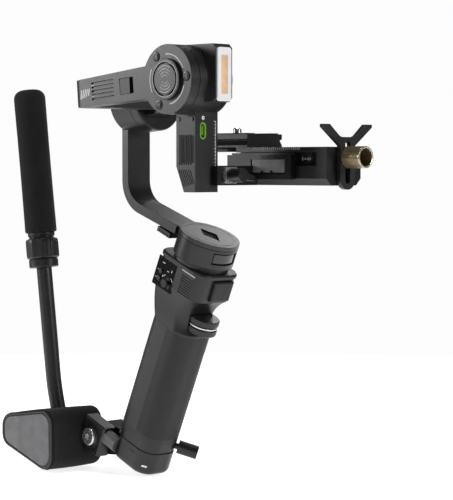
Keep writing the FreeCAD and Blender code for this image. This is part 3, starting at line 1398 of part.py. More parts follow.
def build_all():
    base_adapter()
    adapter_lock_knob()
    bottom_ring()
    grip_shell()
    grip_front_pad()
    grip_side_band()
    battery_door()
    battery_cell()
    head_shell()
    head_deck()
    dial_axle()
    knurled_dial("lower_dial", "dial_low_z")
    knurled_dial("upper_dial", "dial_low_z + dial_high + dial_ring_high + 2*running_gap")
    trigger()
    control_panel()
    thumb_stick()
    for index, label in zip(KEYS, ("mode_key", "record_key")):
        panel_key(index, label)
    main_board()
    pan_motor_case()
    pan_motor_light()
    pan_stator()
    pan_bearing()
    pan_arm()
    pan_lock_slider()
    roll_motor_case()
    roll_stator()
    roll_rotor_cap()
    roll_lock_slider()
    roll_arm()
    tilt_hub_cap()
    hub_screws()
    tilt_lock_slider()
    tilt_stator()
    tilt_arm()
    usb_socket()
    tilt_arm_cover()
    cover_screws()
    fill_light_frame()
    fill_light_lens()
    height_rail()
    carriage()
    clamp_jaw()
    lever_bracket()
    clamp_lever()
    support_rail()
    camera_plate()
    camera_pads()
    camera_screw()
    lens_fork()
    fork_knob()
    rest_knuckle()
    rest_bolt()
    rest_thumb_knob()
    rest_pad()
    pad_end_cap()
    sling_rod()
    twist_collar()
    sling_tube()
    foam_grip()


def save_all():
    """Checks every feature and writes each piece to its own file."""
    DOC.recompute()
    for item in DOC.Objects:
        if "Invalid" in item.State or "Error" in item.State:
            raise RuntimeError(f"{item.Label} failed: {item.State}")
    for body in PIECES:
        if body.Shape.isNull() or not body.Shape.isValid():
            raise RuntimeError(f"{body.Label} has no valid shape")
        body.Shape.exportStep(f"parts/{body.Label}.step")


build_all()
save_all()
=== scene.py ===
"""Looks for the camera gimbal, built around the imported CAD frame, in metres.

CAD pieces keep their shape and get procedural materials. Foam, the twist collar, prints, scales and
small trim are built here in the frames that the CAD joints define: HANDLE (Z along the pan axis),
ROLL (X along the roll axis), STAGE (level, at the crossing of the roll and tilt axes) and ROD.
"""
import json
import math

import bmesh
import bpy
from mathutils import Matrix, Vector, noise


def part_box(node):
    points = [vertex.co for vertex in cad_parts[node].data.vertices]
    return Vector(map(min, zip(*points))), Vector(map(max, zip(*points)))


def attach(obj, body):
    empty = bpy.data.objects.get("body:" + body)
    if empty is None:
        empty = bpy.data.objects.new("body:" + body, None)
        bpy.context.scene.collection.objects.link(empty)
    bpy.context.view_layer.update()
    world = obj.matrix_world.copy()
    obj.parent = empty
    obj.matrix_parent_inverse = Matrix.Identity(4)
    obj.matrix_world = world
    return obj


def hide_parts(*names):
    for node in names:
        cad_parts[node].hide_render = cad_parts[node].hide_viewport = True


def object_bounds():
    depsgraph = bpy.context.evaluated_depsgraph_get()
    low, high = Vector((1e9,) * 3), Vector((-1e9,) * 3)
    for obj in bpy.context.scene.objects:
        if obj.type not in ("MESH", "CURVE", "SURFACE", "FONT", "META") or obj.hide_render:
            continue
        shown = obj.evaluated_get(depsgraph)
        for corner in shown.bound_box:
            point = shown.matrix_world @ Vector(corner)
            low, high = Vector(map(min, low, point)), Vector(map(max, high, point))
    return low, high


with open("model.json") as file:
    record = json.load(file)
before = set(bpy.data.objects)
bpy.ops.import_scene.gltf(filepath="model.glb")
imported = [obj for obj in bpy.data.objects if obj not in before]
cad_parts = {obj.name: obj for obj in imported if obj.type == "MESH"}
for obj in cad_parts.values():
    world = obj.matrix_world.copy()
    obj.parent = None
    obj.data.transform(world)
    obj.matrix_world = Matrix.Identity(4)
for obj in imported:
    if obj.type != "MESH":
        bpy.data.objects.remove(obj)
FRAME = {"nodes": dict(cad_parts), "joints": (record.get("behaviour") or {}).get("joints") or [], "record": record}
CAD_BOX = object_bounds()
JOINTS = {joint["name"]: joint for joint in FRAME["joints"]}

MM = 0.001
TURN = 2 * math.pi
PRINT_PROUD = 0.12 * MM         # how far a printed mark stands off its surface
PRINT_SUNK = 0.3 * MM           # how far a mark or ridge reaches under its surface
RIDGE_PROUD = 0.35 * MM
SMOOTH_BELOW = 35               # degrees between faces that are shaded as one surface

# faces of the object that trim stands on, millimetres in the frame named
ARM_FACE_Y = -96.5              # ROLL: outside of the long arm
HUB_FACE_Y = -98.9              # ROLL: disc at the tilt motor's end
HUB_SCREW_CIRCLE = 20.2
HUB_SCREW_ANGLES = (0, 120, 240)
TILT_ARM_FACE_Y = -78.0         # STAGE
TILT_ARM_FRONT_X = 10.0
HEAD_FACE_Y = -20.5             # HANDLE, as are those that follow
STICK = (-10.5, 145.5)
DIAL_X = 20.5
DIAL_LOW = 117.5
DIAL_HIGH = 5.2
DIAL_RING_HIGH = 1.6
RUNNING_GAP = 0.4
DISC_TOP = 191.6
LOZENGE_DEEP = 1.6

# ---------------------------------------------------------------- frames, from the CAD joints
PAN_AXIS = Vector(JOINTS["pan"]["axis"])
ROLL_AXIS = Vector(JOINTS["roll"]["axis"])
ROD_AXIS = Vector(JOINTS["sling_height"]["axis"])
AXES = Vector(JOINTS["roll"]["pos_m"])
FOOT = PAN_AXIS * 12 * MM
LEFT = Vector((0, 1, 0))


def frame_matrix(origin, x_axis, z_axis):
    """Matrix of a frame with its Y to the left."""
    matrix = Matrix((x_axis, LEFT, z_axis)).transposed().to_4x4()
    return Matrix.Translation(origin) @ matrix


HANDLE = frame_matrix(FOOT, LEFT.cross(PAN_AXIS), PAN_AXIS)
ROLL = frame_matrix(AXES, ROLL_AXIS, ROLL_AXIS.cross(LEFT))
STAGE = frame_matrix(AXES, Vector((1, 0, 0)), Vector((0, 0, 1)))
LEVEL = frame_matrix(FOOT, Vector((1, 0, 0)), Vector((0, 0, 1)))
ROD_START = FOOT + Vector((-96, -15, 57)) * MM
ROD = frame_matrix(ROD_START, LEFT.cross(ROD_AXIS), ROD_AXIS)
SIDE = Matrix.Rotation(math.pi / 2, 4, "X")         # local Z out of a right-hand face


# ---------------------------------------------------------------- materials
def ramp(nodes, links, source, low, high, start=0.35, end=0.65):
    """Colour that goes from low to high with a value."""
    node = nodes.new("ShaderNodeValToRGB")
    node.color_ramp.elements[0].position = start
    node.color_ramp.elements[1].position = end
    node.color_ramp.elements[0].color = (*low, 1)
    node.color_ramp.elements[1].color = (*high, 1)
    links.new(source, node.inputs["Fac"])
    return node.outputs["Color"]


def noise_value(nodes, links, scale, detail=4.0):
    """Noise over the object's own coordinates."""
    place = nodes.new("ShaderNodeTexCoord")
    texture = nodes.new("ShaderNodeTexNoise")
    texture.inputs["Scale"].default_value = scale
    texture.inputs["Detail"].default_value = detail
    links.new(place.outputs["Object"], texture.inputs["Vector"])
    return texture.outputs["Fac"]


def edge_value(nodes, links, width):
    """Value that grows from 0 on flat areas towards edges."""
    bevel = nodes.new("ShaderNodeBevel")
    bevel.samples = 4
    bevel.inputs["Radius"].default_value = width
    geometry = nodes.new("ShaderNodeNewGeometry")
    dot = nodes.new("ShaderNodeVectorMath")
    dot.operation = "DOT_PRODUCT"
    links.new(bevel.outputs["Normal"], dot.inputs[0])
    links.new(geometry.outputs["Normal"], dot.inputs[1])
    amount = nodes.new("ShaderNodeMapRange")
    amount.inputs["From Min"].default_value = 1.0
    amount.inputs["From Max"].default_value = 0.72
    links.new(dot.outputs["Value"], amount.inputs["Value"])
    return bevel.outputs["Normal"], amount.outputs["Result"]


def finish(name, colour, roughness, metallic=0.0, grain=1800.0, bump=0.04, spread=0.18, edge=0.3 * MM,
           edge_light=1.5, coat=0.0, sheen=0.0):
    """A procedural finish: mottled colour, fine grain, softened edges with a painted edge highlight."""
    made = bpy.data.materials.new(name)
    made.use_nodes = True
    nodes, links = made.node_tree.nodes, made.node_tree.links
    shader = nodes["Principled BSDF"]
    shader.inputs["Metallic"].default_value = metallic
    shader.inputs["Coat Weight"].default_value = coat
    shader.inputs["Sheen Weight"].default_value = sheen
    low = [channel * (1 - spread) for channel in colour]
    high = [min(1.0, channel * (1 + spread)) for channel in colour]
    # painted edge highlight: the colour lightened by edge_light, mixed in towards edges by the bevel mask
    edge_highlight = [min(1.0, channel * edge_light + 0.004) for channel in colour]
    mottled = ramp(nodes, links, noise_value(nodes, links, 90.0), low, high)
    normal, amount = edge_value(nodes, links, edge)
    mix = nodes.new("ShaderNodeMix")
    mix.data_type = "RGBA"
    mix.inputs["B"].default_value = (*edge_highlight, 1)
    links.new(amount, mix.inputs["Factor"])
    links.new(mottled, mix.inputs["A"])
    links.new(mix.outputs["Result"], shader.inputs["Base Color"])
    rough = nodes.new("ShaderNodeMapRange")
    rough.inputs["To Min"].default_value = max(0.02, roughness - 0.05)
    rough.inputs["To Max"].default_value = min(1.0, roughness + 0.05)
    links.new(noise_value(nodes, links, 240.0), rough.inputs["Value"])
    links.new(rough.outputs["Result"], shader.inputs["Roughness"])
    relief = nodes.new("ShaderNodeBump")
    relief.inputs["Strength"].default_value = bump
    relief.inputs["Distance"].default_value = 0.1 * MM
    links.new(noise_value(nodes, links, grain), relief.inputs["Height"])
    links.new(normal, relief.inputs["Normal"])
    links.new(relief.outputs["Normal"], shader.inputs["Normal"])
    return made


def glow(name, colour, strength):
    """The fill light's warm diffuser, faintly lit."""
    made = finish(name, colour, 0.35, grain=900.0, bump=0.02, edge_light=1.0)
    shader = made.node_tree.nodes["Principled BSDF"]
    shader.inputs["Emission Color"].default_value = (*colour, 1)
    shader.inputs["Emission Strength"].default_value = strength
    return made


LOOKS = {
    "black_alloy": finish("black_alloy", (0.004, 0.004, 0.0045), 0.33),
    "charcoal_alloy": finish("charcoal_alloy", (0.010, 0.0103, 0.0115), 0.36, bump=0.05),
    "black_plastic": finish("black_plastic", (0.0045, 0.0045, 0.005), 0.42, bump=0.08, grain=2600.0),
    "gloss_black": finish("gloss_black", (0.004, 0.004, 0.0045), 0.14, coat=0.3, bump=0.02),
    "grip_rubber": finish("grip_rubber", (0.003, 0.003, 0.0033), 0.62, bump=0.3, grain=2200.0,
                          edge_light=1.4),
    "foam": finish("foam", (0.003, 0.003, 0.0032), 0.98, bump=0.5, grain=1500.0, spread=0.4,
                   edge=1.0 * MM, edge_light=1.1),
    "grey_plastic": finish("grey_plastic", (0.055, 0.055, 0.058), 0.46, bump=0.06),
    "white_plastic": finish("white_plastic", (0.85, 0.85, 0.87), 0.28, coat=0.3, spread=0.03, edge_light=1.0),
    "warm_lens": glow("warm_lens", (0.66, 0.43, 0.26), 0.12),
    "green_plastic": finish("green_plastic", (0.16, 0.36, 0.03), 0.35, spread=0.08, edge_light=1.2),
    "bright_steel": finish("bright_steel", (0.62, 0.62, 0.63), 0.26, metallic=0.9, bump=0.05, edge_light=1.2),
    "bronze": finish("bronze", (0.24, 0.185, 0.105), 0.34, metallic=0.75, bump=0.05, edge_light=1.6),
    "copper_winding": finish("copper_winding", (0.5, 0.24, 0.1), 0.4, metallic=0.6, bump=0.5, grain=900.0),
    "circuit_board": finish("circuit_board", (0.03, 0.14, 0.07), 0.45),
    "cell_wrap": finish("cell_wrap", (0.08, 0.16, 0.3), 0.3, coat=0.3),
}
PRINT = finish("print_white", (0.72, 0.72, 0.73), 0.5, bump=0.0, spread=0.05, edge_light=1.0)
PRINT_SOFT = finish("print_soft", (0.45, 0.45, 0.46), 0.5, bump=0.0, spread=0.05, edge_light=1.0)
CREAM = finish("cream_rim", (0.62, 0.56, 0.42), 0.25, metallic=0.8, bump=0.0, spread=0.05)
# painted shade: near-black finish laid on the latch's notch and on the floor of the disc's recess
PAINTED_SHADE = finish("painted_recess_shade", (0.004, 0.004, 0.004), 0.6)
COVER = finish("cover_grey", (0.018, 0.0185, 0.020), 0.42, bump=0.08)
DOOR = finish("door_grey", (0.004, 0.004, 0.0045), 0.5, bump=0.08)
BAND = finish("band_grey", (0.012, 0.012, 0.0135), 0.42, bump=0.1, grain=2400.0)

PLATE = finish("plate_grey", (0.105, 0.106, 0.11), 0.42, bump=0.05)

# nodes whose look differs from their slot's
SPECIAL = {"tilt_arm_cover": COVER, "battery_door": DOOR, "grip_side_band": BAND, "clamp_jaw": PLATE,
           "hub_screws": LOOKS["black_alloy"], "cover_screws": LOOKS["black_alloy"], "rest_thumb_knob": PLATE}


def dress_cad():
    """Gives every CAD node the finish of its material slot."""
    slots = {part["node"]: part["material_slot"] for part in FRAME["record"]["subparts"]}
    for name, shown in FRAME["nodes"].items():
        shown.data.materials.clear()
        shown.data.materials.append(SPECIAL.get(name, LOOKS[slots[name]]))


# ---------------------------------------------------------------- mesh helpers
def add(name, mesh, look, body, replaced=()):
    """Puts a mesh in the scene with its finish, and makes it ride on a CAD body."""
    made = bpy.data.objects.new(name, mesh)
    bpy.context.scene.collection.objects.link(made)
    mesh.materials.append(look)
    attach(made, body)
    if replaced:
        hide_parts(*replaced)
    return made


def mesh_of(name, build, matrix):
    """A mesh from a bmesh, moved into a frame, with smooth faces and sharp edges kept."""
    bmesh.ops.recalc_face_normals(build, faces=build.faces)
    build.transform(matrix)
    mesh = bpy.data.meshes.new(name)
    build.to_mesh(mesh)
    build.free()
    for face in mesh.polygons:
        face.use_smooth = True
    mesh.set_sharp_from_angle(angle=math.radians(SMOOTH_BELOW))
    return mesh


def lathe(name, profile, matrix, parts=96, wave=None):
    """Closed solid of revolution about local Z. wave(angle, index) scales the radius of a profile point."""
    build = bmesh.new()
    rings = []
    for index, (radius, height) in enumerate(profile):
        ring = []
        for part in range(parts):
            angle = TURN * part / parts
            reach = radius * (wave(angle, index) if wave else 1)
            place = (reach * math.cos(angle) * MM, reach * math.sin(angle) * MM, height * MM)
            ring.append(build.verts.new(place))
        rings.append(ring)
    for low, high in zip(rings, rings[1:]):
        for part in range(parts):
            after = (part + 1) % parts
            build.faces.new((low[part], low[after], high[after], high[part]))
    build.faces.new(rings[0])
    build.faces.new(rings[-1])
    return mesh_of(name, build, matrix)


def ring_solid(name, profile, matrix, parts=96):
    """Ring of revolution whose profile is a closed loop of (radius, height)."""
    build = bmesh.new()
    rings = [[build.verts.new((radius * math.cos(TURN * part / parts) * MM,
                               radius * math.sin(TURN * part / parts) * MM, height * MM))
              for part in range(parts)] for radius, height in profile]
    for index, low in enumerate(rings):
        high = rings[(index + 1) % len(rings)]
        for part in range(parts):
            after = (part + 1) % parts
            build.faces.new((low[part], low[after], high[after], high[part]))
    return mesh_of(name, build, matrix)


def slabs(name, outlines, height, matrix):
    """Thin flat solids on local Z = 0, one for each outline of (x, y) millimetres."""
    build = bmesh.new()
    for outline in outlines:
        low = [build.verts.new((x * MM, y * MM, -PRINT_SUNK)) for x, y in outline]
        high = [build.verts.new((x * MM, y * MM, height)) for x, y in outline]
        build.faces.new(low)
        build.faces.new(high)
        for index in range(len(outline)):
            after = (index + 1) % len(outline)
            build.faces.new((low[index], low[after], high[after], high[index]))
    return mesh_of(name, build, matrix)


def bar(x, y, width, height, slant=0.0):
    """Four corners of a bar centred on (x, y), leaning by `slant`."""
    half_x, half_y = width / 2, height / 2
    return [(x - half_x - slant / 2, y - half_y), (x + half_x - slant / 2, y - half_y),
            (x + half_x + slant / 2, y + half_y), (x - half_x + slant / 2, y + half_y)]


def arc_band(radius, wide, start, end, parts=24, x=0.0, y=0.0):
    """Outline of a curved band between two angles in degrees."""
    angles = [math.radians(start + (end - start) * part / parts) for part in range(parts + 1)]
    outer = [(x + (radius + wide / 2) * math.cos(a), y + (radius + wide / 2) * math.sin(a)) for a in angles]
    inner = [(x + (radius - wide / 2) * math.cos(a), y + (radius - wide / 2) * math.sin(a)) for a in angles]
    return outer + inner[::-1]


def rounded_outline(corners, radius, parts=10):
    """Polygon corners replaced by arcs of one radius."""
    points = []
    for index, here in enumerate(corners):
        here = Vector(here)
        before = (Vector(corners[index - 1]) - here).normalized()
        after = (Vector(corners[(index + 1) % len(corners)]) - here).normalized()
        half = before.angle(after) / 2
        centre = here + (before + after).normalized() * radius / math.sin(half)
        start = here + before * radius / math.tan(half) - centre
        end = here + after * radius / math.tan(half) - centre
        sweep = start.angle_signed(end)
        for part in range(parts + 1):
            turn = Matrix.Rotation(-sweep * part / parts, 2)
            points.append(tuple(centre + turn @ start))
    return points


def tube_of_sections(name, sections, matrix):
    """Closed skin through outlines of equal point count, each a list of (x, y, z) millimetres."""
    build = bmesh.new()
    rings = [[build.verts.new(Vector(point) * MM) for point in section] for section in sections]
    for low, high in zip(rings, rings[1:]):
        for index in range(len(low)):
            after = (index + 1) % len(low)
            build.faces.new((low[index], low[after], high[after], high[index]))
    build.faces.new(rings[0])
    build.faces.new(rings[-1])
    return mesh_of(name, build, matrix)


def carve(target, tool_mesh):
    """Takes a helper solid away from a piece."""
    tool = bpy.data.objects.new("tool", tool_mesh)
    bpy.context.scene.collection.objects.link(tool)
    bpy.context.view_layer.update()
    change = target.modifiers.new("carve", "BOOLEAN")
    change.operation = "DIFFERENCE"
    change.solver = "EXACT"
    change.object = tool
    bpy.context.view_layer.objects.active = target
    with bpy.context.temp_override(object=target, active_object=target):
        bpy.ops.object.modifier_apply(modifier=change.name)
    bpy.data.objects.remove(tool)


# ---------------------------------------------------------------- sling grip
def foam_sleeve():
    """Foam sleeve with a rounded top and lightly uneven skin."""
    radius, low, high = 13.25, 117.4, 238.0
    profile = [(8.6, low), (radius - 1.6, low)]
    for part in range(1, 7):
        angle = math.pi / 2 * part / 6
        profile.append((radius - 1.6 + 1.6 * math.sin(angle), low + 1.6 - 1.6 * math.cos(angle)))
    steps = 24
    for part in range(1, steps):
        share = part / steps
        profile.append((radius - 0.25 * math.sin(math.pi * share), low + 1.6 + (high - low - 9.6) * share))
    for part in range(10):
        angle = math.pi / 2 * part / 10
        profile.append((radius - 7 + 7 * math.cos(angle), high - 8 + 7.6 * math.sin(angle)))
    profile.append((4.0, high - 0.2))

    def uneven(angle, index):
        return 1 + 0.006 * noise.noise(Vector((3 * math.cos(angle), 3 * math.sin(angle), index * 0.6)))

    sleeve = add("foam_sleeve", lathe("foam_sleeve", profile, ROD, wave=uneven), LOOKS["foam"], "sling_grip",
                 ["foam_grip"])


def collar():
    """Twist collar: a ribbed nut between a neck and a lower band."""
    low = 88.0
    rib_count = 9

    def ribbed(angle):
        lift = max(0.0, math.cos(rib_count * angle)) ** 0.5
        return 0.965 + 0.035 * lift

    profile = [(6.7, low), (11.6, low), (12.2, low + 0.6), (12.2, low + 6.4), (11.4, low + 7.2),
               (12.6, low + 7.6), (13.6, low + 8.6), (13.75, low + 11.0), (13.75, low + 16.0),
               (13.75, low + 20.0), (13.6, low + 22.6), (12.8, low + 23.8), (11.4, low + 24.2),
               (10.4, low + 24.8), (10.4, low + 26.0), (11.2, low + 26.4), (11.2, low + 28.9),
               (6.7, low + 28.9)]
    made = ring_solid("twist_collar_skin", profile, ROD, parts=144)
    centre = ROD.inverted()
    for vertex in made.vertices:
        local = centre @ vertex.co
        height = local.z / MM - low
        if 8.0 < height < 23.4 and math.hypot(local.x, local.y) > 10 * MM:
            scale = ribbed(math.atan2(local.y, local.x))
            vertex.co = ROD @ Vector((local.x * scale, local.y * scale, local.z))
    add("twist_collar_skin", made, LOOKS["black_plastic"], "twist_collar", ["twist_collar"])


# ---------------------------------------------------------------- wrist rest
REST_CORNERS = [(-116.0, 24.3), (-50.0, 33.0), (-50.0, -22.5), (-116.0, 0.0)]


def rest_section(inset, y):
    """Outline of the wrist rest at one place along it, pulled in by `inset`."""
    outline = rounded_outline(REST_CORNERS, 11.5, parts=12)
    middle = Vector((sum(x for x, _ in outline), sum(z for _, z in outline))) / len(outline)
    section = []
    for x, z in outline:
        reach = Vector((x, z)) - middle
        reach *= (reach.length - inset) / reach.length
        section.append((middle.x + reach.x, y, middle.y + reach.y))
    return section


def wrist_pad():
    """Foam barrel with rolled ends, cut away for the knuckle and the adapter's arm."""
    right, left, roll = -53.4, 2.0, 6.0
    sections = [rest_section(2.4, right), rest_section(0.9, right + 0.5), rest_section(0.2, right + 1.6)]
    steps = 14
    for part in range(steps + 1):
        share = part / steps
        crown = 0.5 * (1 - math.sin(math.pi * share))
        sections.append(rest_section(crown, right + 2.5 + (left - roll - right - 2.5) * share))
    for part in range(1, 8):
        angle = math.pi / 2 * part / 8
        inset = 0.5 + roll * (1 - math.cos(angle))
        sections.append(rest_section(inset, left - roll + roll * math.sin(angle)))
    pad = add("wrist_pad", tube_of_sections("wrist_pad", sections, LEVEL), LOOKS["foam"], "wrist_rest",
              ["rest_pad"])
    knuckle = [(-54, -22.4), (-27, -22.4), (-27, -9.6), (-54, -9.6)]
    block = [[(x, y, z) for x, y in knuckle] for z in (-20.4, 6.4)]
    carve(pad, tube_of_sections("tool", block, HANDLE))
    pivot = HANDLE @ Matrix.Translation(Vector((-41, 0, -8)) * MM) @ SIDE
    carve(pad, lathe("tool", [(17.5, -4.0), (17.5, 10.0)], pivot, parts=64))


def end_plate():
    """Right-hand end of the wrist rest: a black rim round a smooth grey plate."""
    face = -53.4
    rim = [rest_section(1.6, face), rest_section(1.0, face - 0.7), rest_section(1.8, face - 1.4),
           rest_section(3.4, face - 1.5), rest_section(4.2, face - 0.8)]
    add("end_rim", tube_of_sections("end_rim", rim, LEVEL), LOOKS["black_plastic"], "wrist_rest",
        ["pad_end_cap"])
    plate = [rest_section(4.6, face), rest_section(4.7, face - 1.0), rest_section(5.3, face - 1.5),
             rest_section(14.0, face - 1.6)]
    add("end_plate", tube_of_sections("end_plate", plate, LEVEL), PLATE, "wrist_rest")


# ---------------------------------------------------------------- prints, scales and small trim
def right_face(frame, x, y, z):
    """Frame on a right-hand face: local X forward, local Y up, local Z out of the face."""
    return frame @ Matrix.Translation(Vector((x, y, z)) * MM) @ SIDE


def front_face(frame, x, y, z):
    """Frame on a front face: local X to the left, local Y up, local Z forward."""
    turn = Matrix(((0, 0, 1), (1, 0, 0), (0, 1, 0))).to_4x4()
    return frame @ Matrix.Translation(Vector((x, y, z)) * MM) @ turn


def mark(name, outlines, place, body, look=PRINT):
    add(name, slabs(name, outlines, PRINT_PROUD, place), look, body)


def roll_arm_marks():
    """Generic stripes on the long arm, in place of a name, and arcs round the tilt motor's hub."""
    place = right_face(ROLL, -95, ARM_FACE_Y, 0)
    stripes = [bar(index * 2.2, -1.2 + index * 0.25, 1.1, 7.0 - index * 0.5, 1.2) for index in range(5)]
    stripes += [bar(13.4, 4.2, 3.0, 0.5), bar(13.4, -3.6, 3.0, 0.5)]
    mark("arm_stripes", stripes, place, "roll_arm")
    arcs = [arc_band(18.2, 0.7, 20, 90), arc_band(18.2, 0.7, 150, 205), arc_band(18.2, 0.7, 275, 340)]
    mark("hub_arcs", arcs, right_face(ROLL, 0, ARM_FACE_Y, 0), "roll_arm", PRINT)


def hub_waves():
    """Plain wave lines on the disc at the tilt motor's end."""
    place = right_face(ROLL, 0, HUB_FACE_Y, 0)
    waves = [arc_band(3.0 + 2.2 * ring, 0.5, 25 + 9 * ring, 150 - 7 * ring) for ring in range(4)]
    waves += [arc_band(3.0 + 2.2 * ring, 0.5, 205 + 9 * ring, 330 - 7 * ring) for ring in range(4)]
    mark("hub_waves", waves, place, "roll_arm", PRINT_SOFT)
    rim = arc_band(12.9, 0.5, 0, 359.9, parts=72)
    mark("hub_rim_line", [rim], place, "roll_arm", PRINT_SOFT)


def arm_lugs():
    """Three raised lugs that carry the hub screws round the tilt motor's rim."""
    profile = [(0.5, 0), (3.4, 0), (3.6, 0.2), (3.6, 0.35), (3.3, 0.5), (2.2, 0.5), (2.0, 0.2), (0.5, 0.2)]
    for index, angle in enumerate(HUB_SCREW_ANGLES):
        turn = math.radians(angle)
        reach = Vector((math.cos(turn), math.sin(turn), 0)) * HUB_SCREW_CIRCLE * MM
        place = right_face(ROLL, 0, ARM_FACE_Y, 0) @ Matrix.Translation(reach)
        lug = lathe(f"hub_lug_{index}", profile, place, parts=40)
        add(f"hub_lug_{index}", lug, LOOKS["black_alloy"], "roll_arm")


def stage_marks():
    """Height scale down the tilt arm's front edge and a charging mark over its socket."""
    place = front_face(STAGE, TILT_ARM_FRONT_X, 0, 0)
    ticks = [bar(-58.2, -30 - 2.5 * index, 1.8 if index % 4 == 0 else 1.0, 0.35) for index in range(17)]
    ticks.append(bar(-57.2, -50, 0.35, 40.4))
    mark("height_scale", ticks, place, "tilt_arm", PRINT)
    drop = arc_band(1.0, 0.9, 0, 359.9, parts=20, x=-70, y=-27.6)
    mark("charge_mark", [drop], place, "tilt_arm", PRINT)


def cover_ridges():
    """Fine ridges on the tilt arm's cover: upright above, following the slanted foot below."""
    face = right_face(STAGE, 0, TILT_ARM_FACE_Y, 0)
    upright = [bar(-6.4 + 1.35 * index, -50.5, 0.45, 20.0) for index in range(12)]
    add("cover_ridges", slabs("cover_ridges", upright, RIDGE_PROUD, face), COVER, "tilt_arm")
    slant = math.atan2(19, 8)
    leaning = []
    for index in range(7):
        start = Vector((-7.2 + 1.9 * index, -65.5))
        step = Vector((math.cos(-slant), math.sin(-slant))) * (13.5 - 0.4 * index)
        side = Vector((0.25, 0.1))
        leaning.append([tuple(start - side), tuple(start + side), tuple(start + step + side),
                        tuple(start + step - side)])
    add("foot_ridges", slabs("foot_ridges", leaning, RIDGE_PROUD, face), COVER, "tilt_arm")


def rail_marks():
    """Balance scales on the side of the support rail and on the camera plate."""
    place = right_face(STAGE, 0, -18.6, 0)
    ticks = [bar(12 + 2 * index, -50.0, 0.35, 1.6 if index % 5 else 2.4) for index in range(24)]
    mark("rail_scale", ticks, place, "support_rail", PRINT)
    groove = right_face(STAGE, 0, -14.0, 0)
    later = [bar(57 + 1.6 * index, -57.5, 0.35, 2.6 if index % 4 == 0 else 1.4) for index in range(6)]
    mark("waist_scale", later, groove, "support_rail")


def knob_rim():
    """Pale turned rim round the mouth of the brass knob."""
    low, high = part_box("fork_knob")
    centre = Vector((high.x, (low.y + high.y) / 2, (low.z + high.z) / 2))
    place = Matrix.Translation(centre) @ Matrix.Rotation(math.pi / 2, 4, "Y")
    profile = [(8.0, -0.9), (8.05, -0.2), (7.8, 0.15), (7.1, 0.2), (6.65, 0.0), (6.55, -0.9)]
    add("knob_rim", ring_solid("knob_rim", profile, place, parts=72), CREAM, "fork_knob")


def panel_marks():
    """Small plain marks round the joystick and keys of the control panel."""
    place = right_face(HANDLE, 0, HEAD_FACE_Y, 0)
    stick_x, stick_z = STICK
    marks = [arc_band(6.4, 0.5, 120, 150, x=stick_x, y=stick_z),
             arc_band(6.4, 0.5, 30, 60, x=stick_x, y=stick_z),
             bar(-12.2, 154.6, 2.2, 0.5), bar(-8.2, 156.2, 0.5, 2.2), bar(-23.4, 145.4, 1.2, 0.5),
             bar(-23.4, 152.0, 1.2, 0.5), bar(-16.6, 149.0, 0.5, 1.8), bar(-19.0, 159.2, 3.0, 0.5)]
    mark("panel_marks", marks, place, "handle")
    dashes = [bar(2.0 + 1.3 * index, 163.2, 0.8, 0.9, 0.3) for index in range(12)]
    mark("head_dashes", dashes, place, "handle")


def dial_trim():
    """Bright ring between the two dials, and the fine knurl round each of them."""
    place = HANDLE @ Matrix.Translation(Vector((DIAL_X, 0, 0)) * MM)
    middle = DIAL_LOW + DIAL_HIGH + RUNNING_GAP + DIAL_RING_HIGH / 2
    band = [(11.0, middle - 0.55), (11.75, middle - 0.45), (11.75, middle + 0.45), (11.0, middle + 0.55)]
    add("dial_ring", ring_solid("dial_ring", band, place), LOOKS["bright_steel"], "handle")
    teeth = 54

    def knurled(angle, index):
        return 1 + 0.012 * math.cos(teeth * angle)

    upper_low = DIAL_LOW + DIAL_HIGH + DIAL_RING_HIGH + 2 * RUNNING_GAP
    for body, low in (("lower_dial", DIAL_LOW), ("upper_dial", upper_low)):
        profile = [(10.9, low + 0.7), (12.0, low + 0.9), (12.05, low + 2.6), (12.0, low + 4.3),
                   (10.9, low + 4.5)]
        mesh = lathe(body + "_knurl", profile, place, parts=teeth * 8, wave=knurled)
        add(body + "_knurl", mesh, LOOKS["black_alloy"], body)


def adapter_mark():
    """Short plain bar low on the adapter's front corner."""
    angle = math.radians(-45)
    centre = Vector((8.5 + 14.0 * math.cos(angle), -4.5 + 14.0 * math.sin(angle), -3.6)) * MM
    turn = Matrix.Rotation(angle + math.pi / 2, 4, "Z") @ SIDE
    place = HANDLE @ Matrix.Translation(centre) @ turn
    mark("adapter_mark", [bar(0, 0, 4.4, 1.6, 0.5)], place, "handle")


def latch_notch():
    """Notch of the latch on the adapter's side, drawn as a flat mark in painted shade."""
    place = right_face(HANDLE, 5.0, -18.5, 3.2)
    notch = [[(-3.4, 1.3), (3.6, 1.6), (0.2, -1.7)]]
    # painted shade: the notch's shade as a near-black slab on the face
    add("latch_notch", slabs("latch_notch", notch, PRINT_PROUD, place), PAINTED_SHADE, "handle")


def disc_trim():
    """Fine ring round the pan arm's disc and painted shade on the floor of its recess."""
    place = HANDLE @ Matrix.Translation(Vector((0, 0, DISC_TOP)) * MM)
    rings = [arc_band(20.2, 0.5, 0, 359.9, parts=72)]
    mark("disc_ring", rings, place, "pan_arm", LOOKS["black_alloy"])
    lozenge = [[(-11.8, 0), (0, -6.8), (11.8, 0), (0, 6.8)]]
    # painted shade: a near-black sheet on the floor of the lozenge recess
    floor = HANDLE @ Matrix.Translation(Vector((0, 0, DISC_TOP - LOZENGE_DEEP)) * MM)
    mark("lozenge_floor", lozenge, floor, "pan_arm", PAINTED_SHADE)


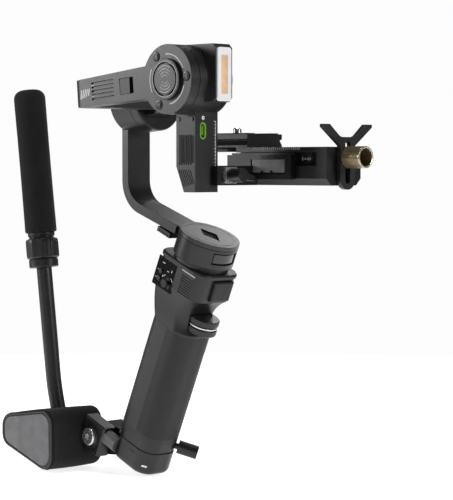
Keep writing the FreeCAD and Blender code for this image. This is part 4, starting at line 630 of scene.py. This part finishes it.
# ---------------------------------------------------------------- studio
def studio():
    """Pale floor, white surroundings and broad soft lights."""
    world = bpy.data.worlds.new("studio")
    bpy.context.scene.world = world
    world.use_nodes = True
    nodes, links = world.node_tree.nodes, world.node_tree.links
    soft = nodes["Background"]
    soft.inputs["Color"].default_value = (1, 1, 1, 1)
    soft.inputs["Strength"].default_value = 0.1
    bright = nodes.new("ShaderNodeBackground")
    bright.inputs["Color"].default_value = (0.98, 0.98, 0.98, 1)
    bright.inputs["Strength"].default_value = 1.0
    path = nodes.new("ShaderNodeLightPath")
    mix = nodes.new("ShaderNodeMixShader")
    links.new(path.outputs["Is Camera Ray"], mix.inputs["Fac"])
    links.new(soft.outputs["Background"], mix.inputs[1])
    links.new(bright.outputs["Background"], mix.inputs[2])
    links.new(mix.outputs["Shader"], nodes["World Output"].inputs["Surface"])
    reach, level = 1.1, CAD_BOX[0].z - 0.0015
    middle = (CAD_BOX[0] + CAD_BOX[1]) / 2
    parts = 96
    angles = [TURN * part / parts for part in range(parts)]
    rim = [(middle.x + reach * math.cos(a), middle.y + reach * math.sin(a), level) for a in angles]
    mesh = bpy.data.meshes.new("floor")
    mesh.from_pydata(rim, [], [tuple(range(parts))])
    floor = bpy.data.objects.new("floor", mesh)
    bpy.context.scene.collection.objects.link(floor)
    pale = finish("pale_floor", (0.9, 0.9, 0.9), 0.8, spread=0.0, bump=0.0, edge_light=1.0)
    shader = pale.node_tree.nodes["Principled BSDF"]
    shader.inputs["Emission Color"].default_value = (1, 1, 1, 1)
    shader.inputs["Emission Strength"].default_value = 0.75
    mesh.materials.append(pale)
    lamps = [("key", (-1.2, -1.0, 0.6), 0.55, 11.5), ("fill", (1.5, 0.35, 0.6), 0.5, 9.5),
             ("top", (0.1, 0.0, 1.6), 0.5, 9.0), ("rim", (-0.6, 1.4, 0.8), 0.6, 7.0),
             ("front", (0.6, -1.5, 0.9), 0.35, 3.0)]
    aim = (CAD_BOX[0] + CAD_BOX[1]) / 2
    for name, place, size, power in lamps:
        lamp = bpy.data.lights.new(name, "AREA")
        lamp.size = size
        lamp.energy = power
        shown = bpy.data.objects.new(name, lamp)
        shown.location = place
        shown.rotation_euler = (aim - Vector(place)).to_track_quat("-Z", "Y").to_euler()
        bpy.context.scene.collection.objects.link(shown)


def camera():
    """Camera at the photograph's angle: ahead and to the right, a little above level."""
    azimuth, elevation, distance = math.radians(45), math.radians(2.43), 1.56
    back = Vector((math.sin(azimuth) * math.cos(elevation), -math.cos(azimuth) * math.cos(elevation),
                   math.sin(elevation)))
    right = Vector((math.cos(azimuth), math.sin(azimuth), 0))
    up = back.cross(right)
    target = FOOT + PAN_AXIS * 183 * MM + right * 15.2 * MM - up * 4.2 * MM
    lens = bpy.data.cameras.new("camera")
    lens.lens = 144.0
    lens.sensor_width = 36.0
    shown = bpy.data.objects.new("camera", lens)
    shown.location = target + back * distance
    shown.rotation_euler = back.to_track_quat("Z", "Y").to_euler()
    bpy.context.scene.collection.objects.link(shown)
    bpy.context.scene.camera = shown


dress_cad()
foam_sleeve()
collar()
wrist_pad()
end_plate()
roll_arm_marks()
hub_waves()
arm_lugs()
stage_marks()
cover_ridges()
rail_marks()
knob_rim()
panel_marks()
dial_trim()
adapter_mark()
latch_notch()
disc_trim()
studio()
camera()
bpy.context.scene.view_settings.view_transform = "Standard"
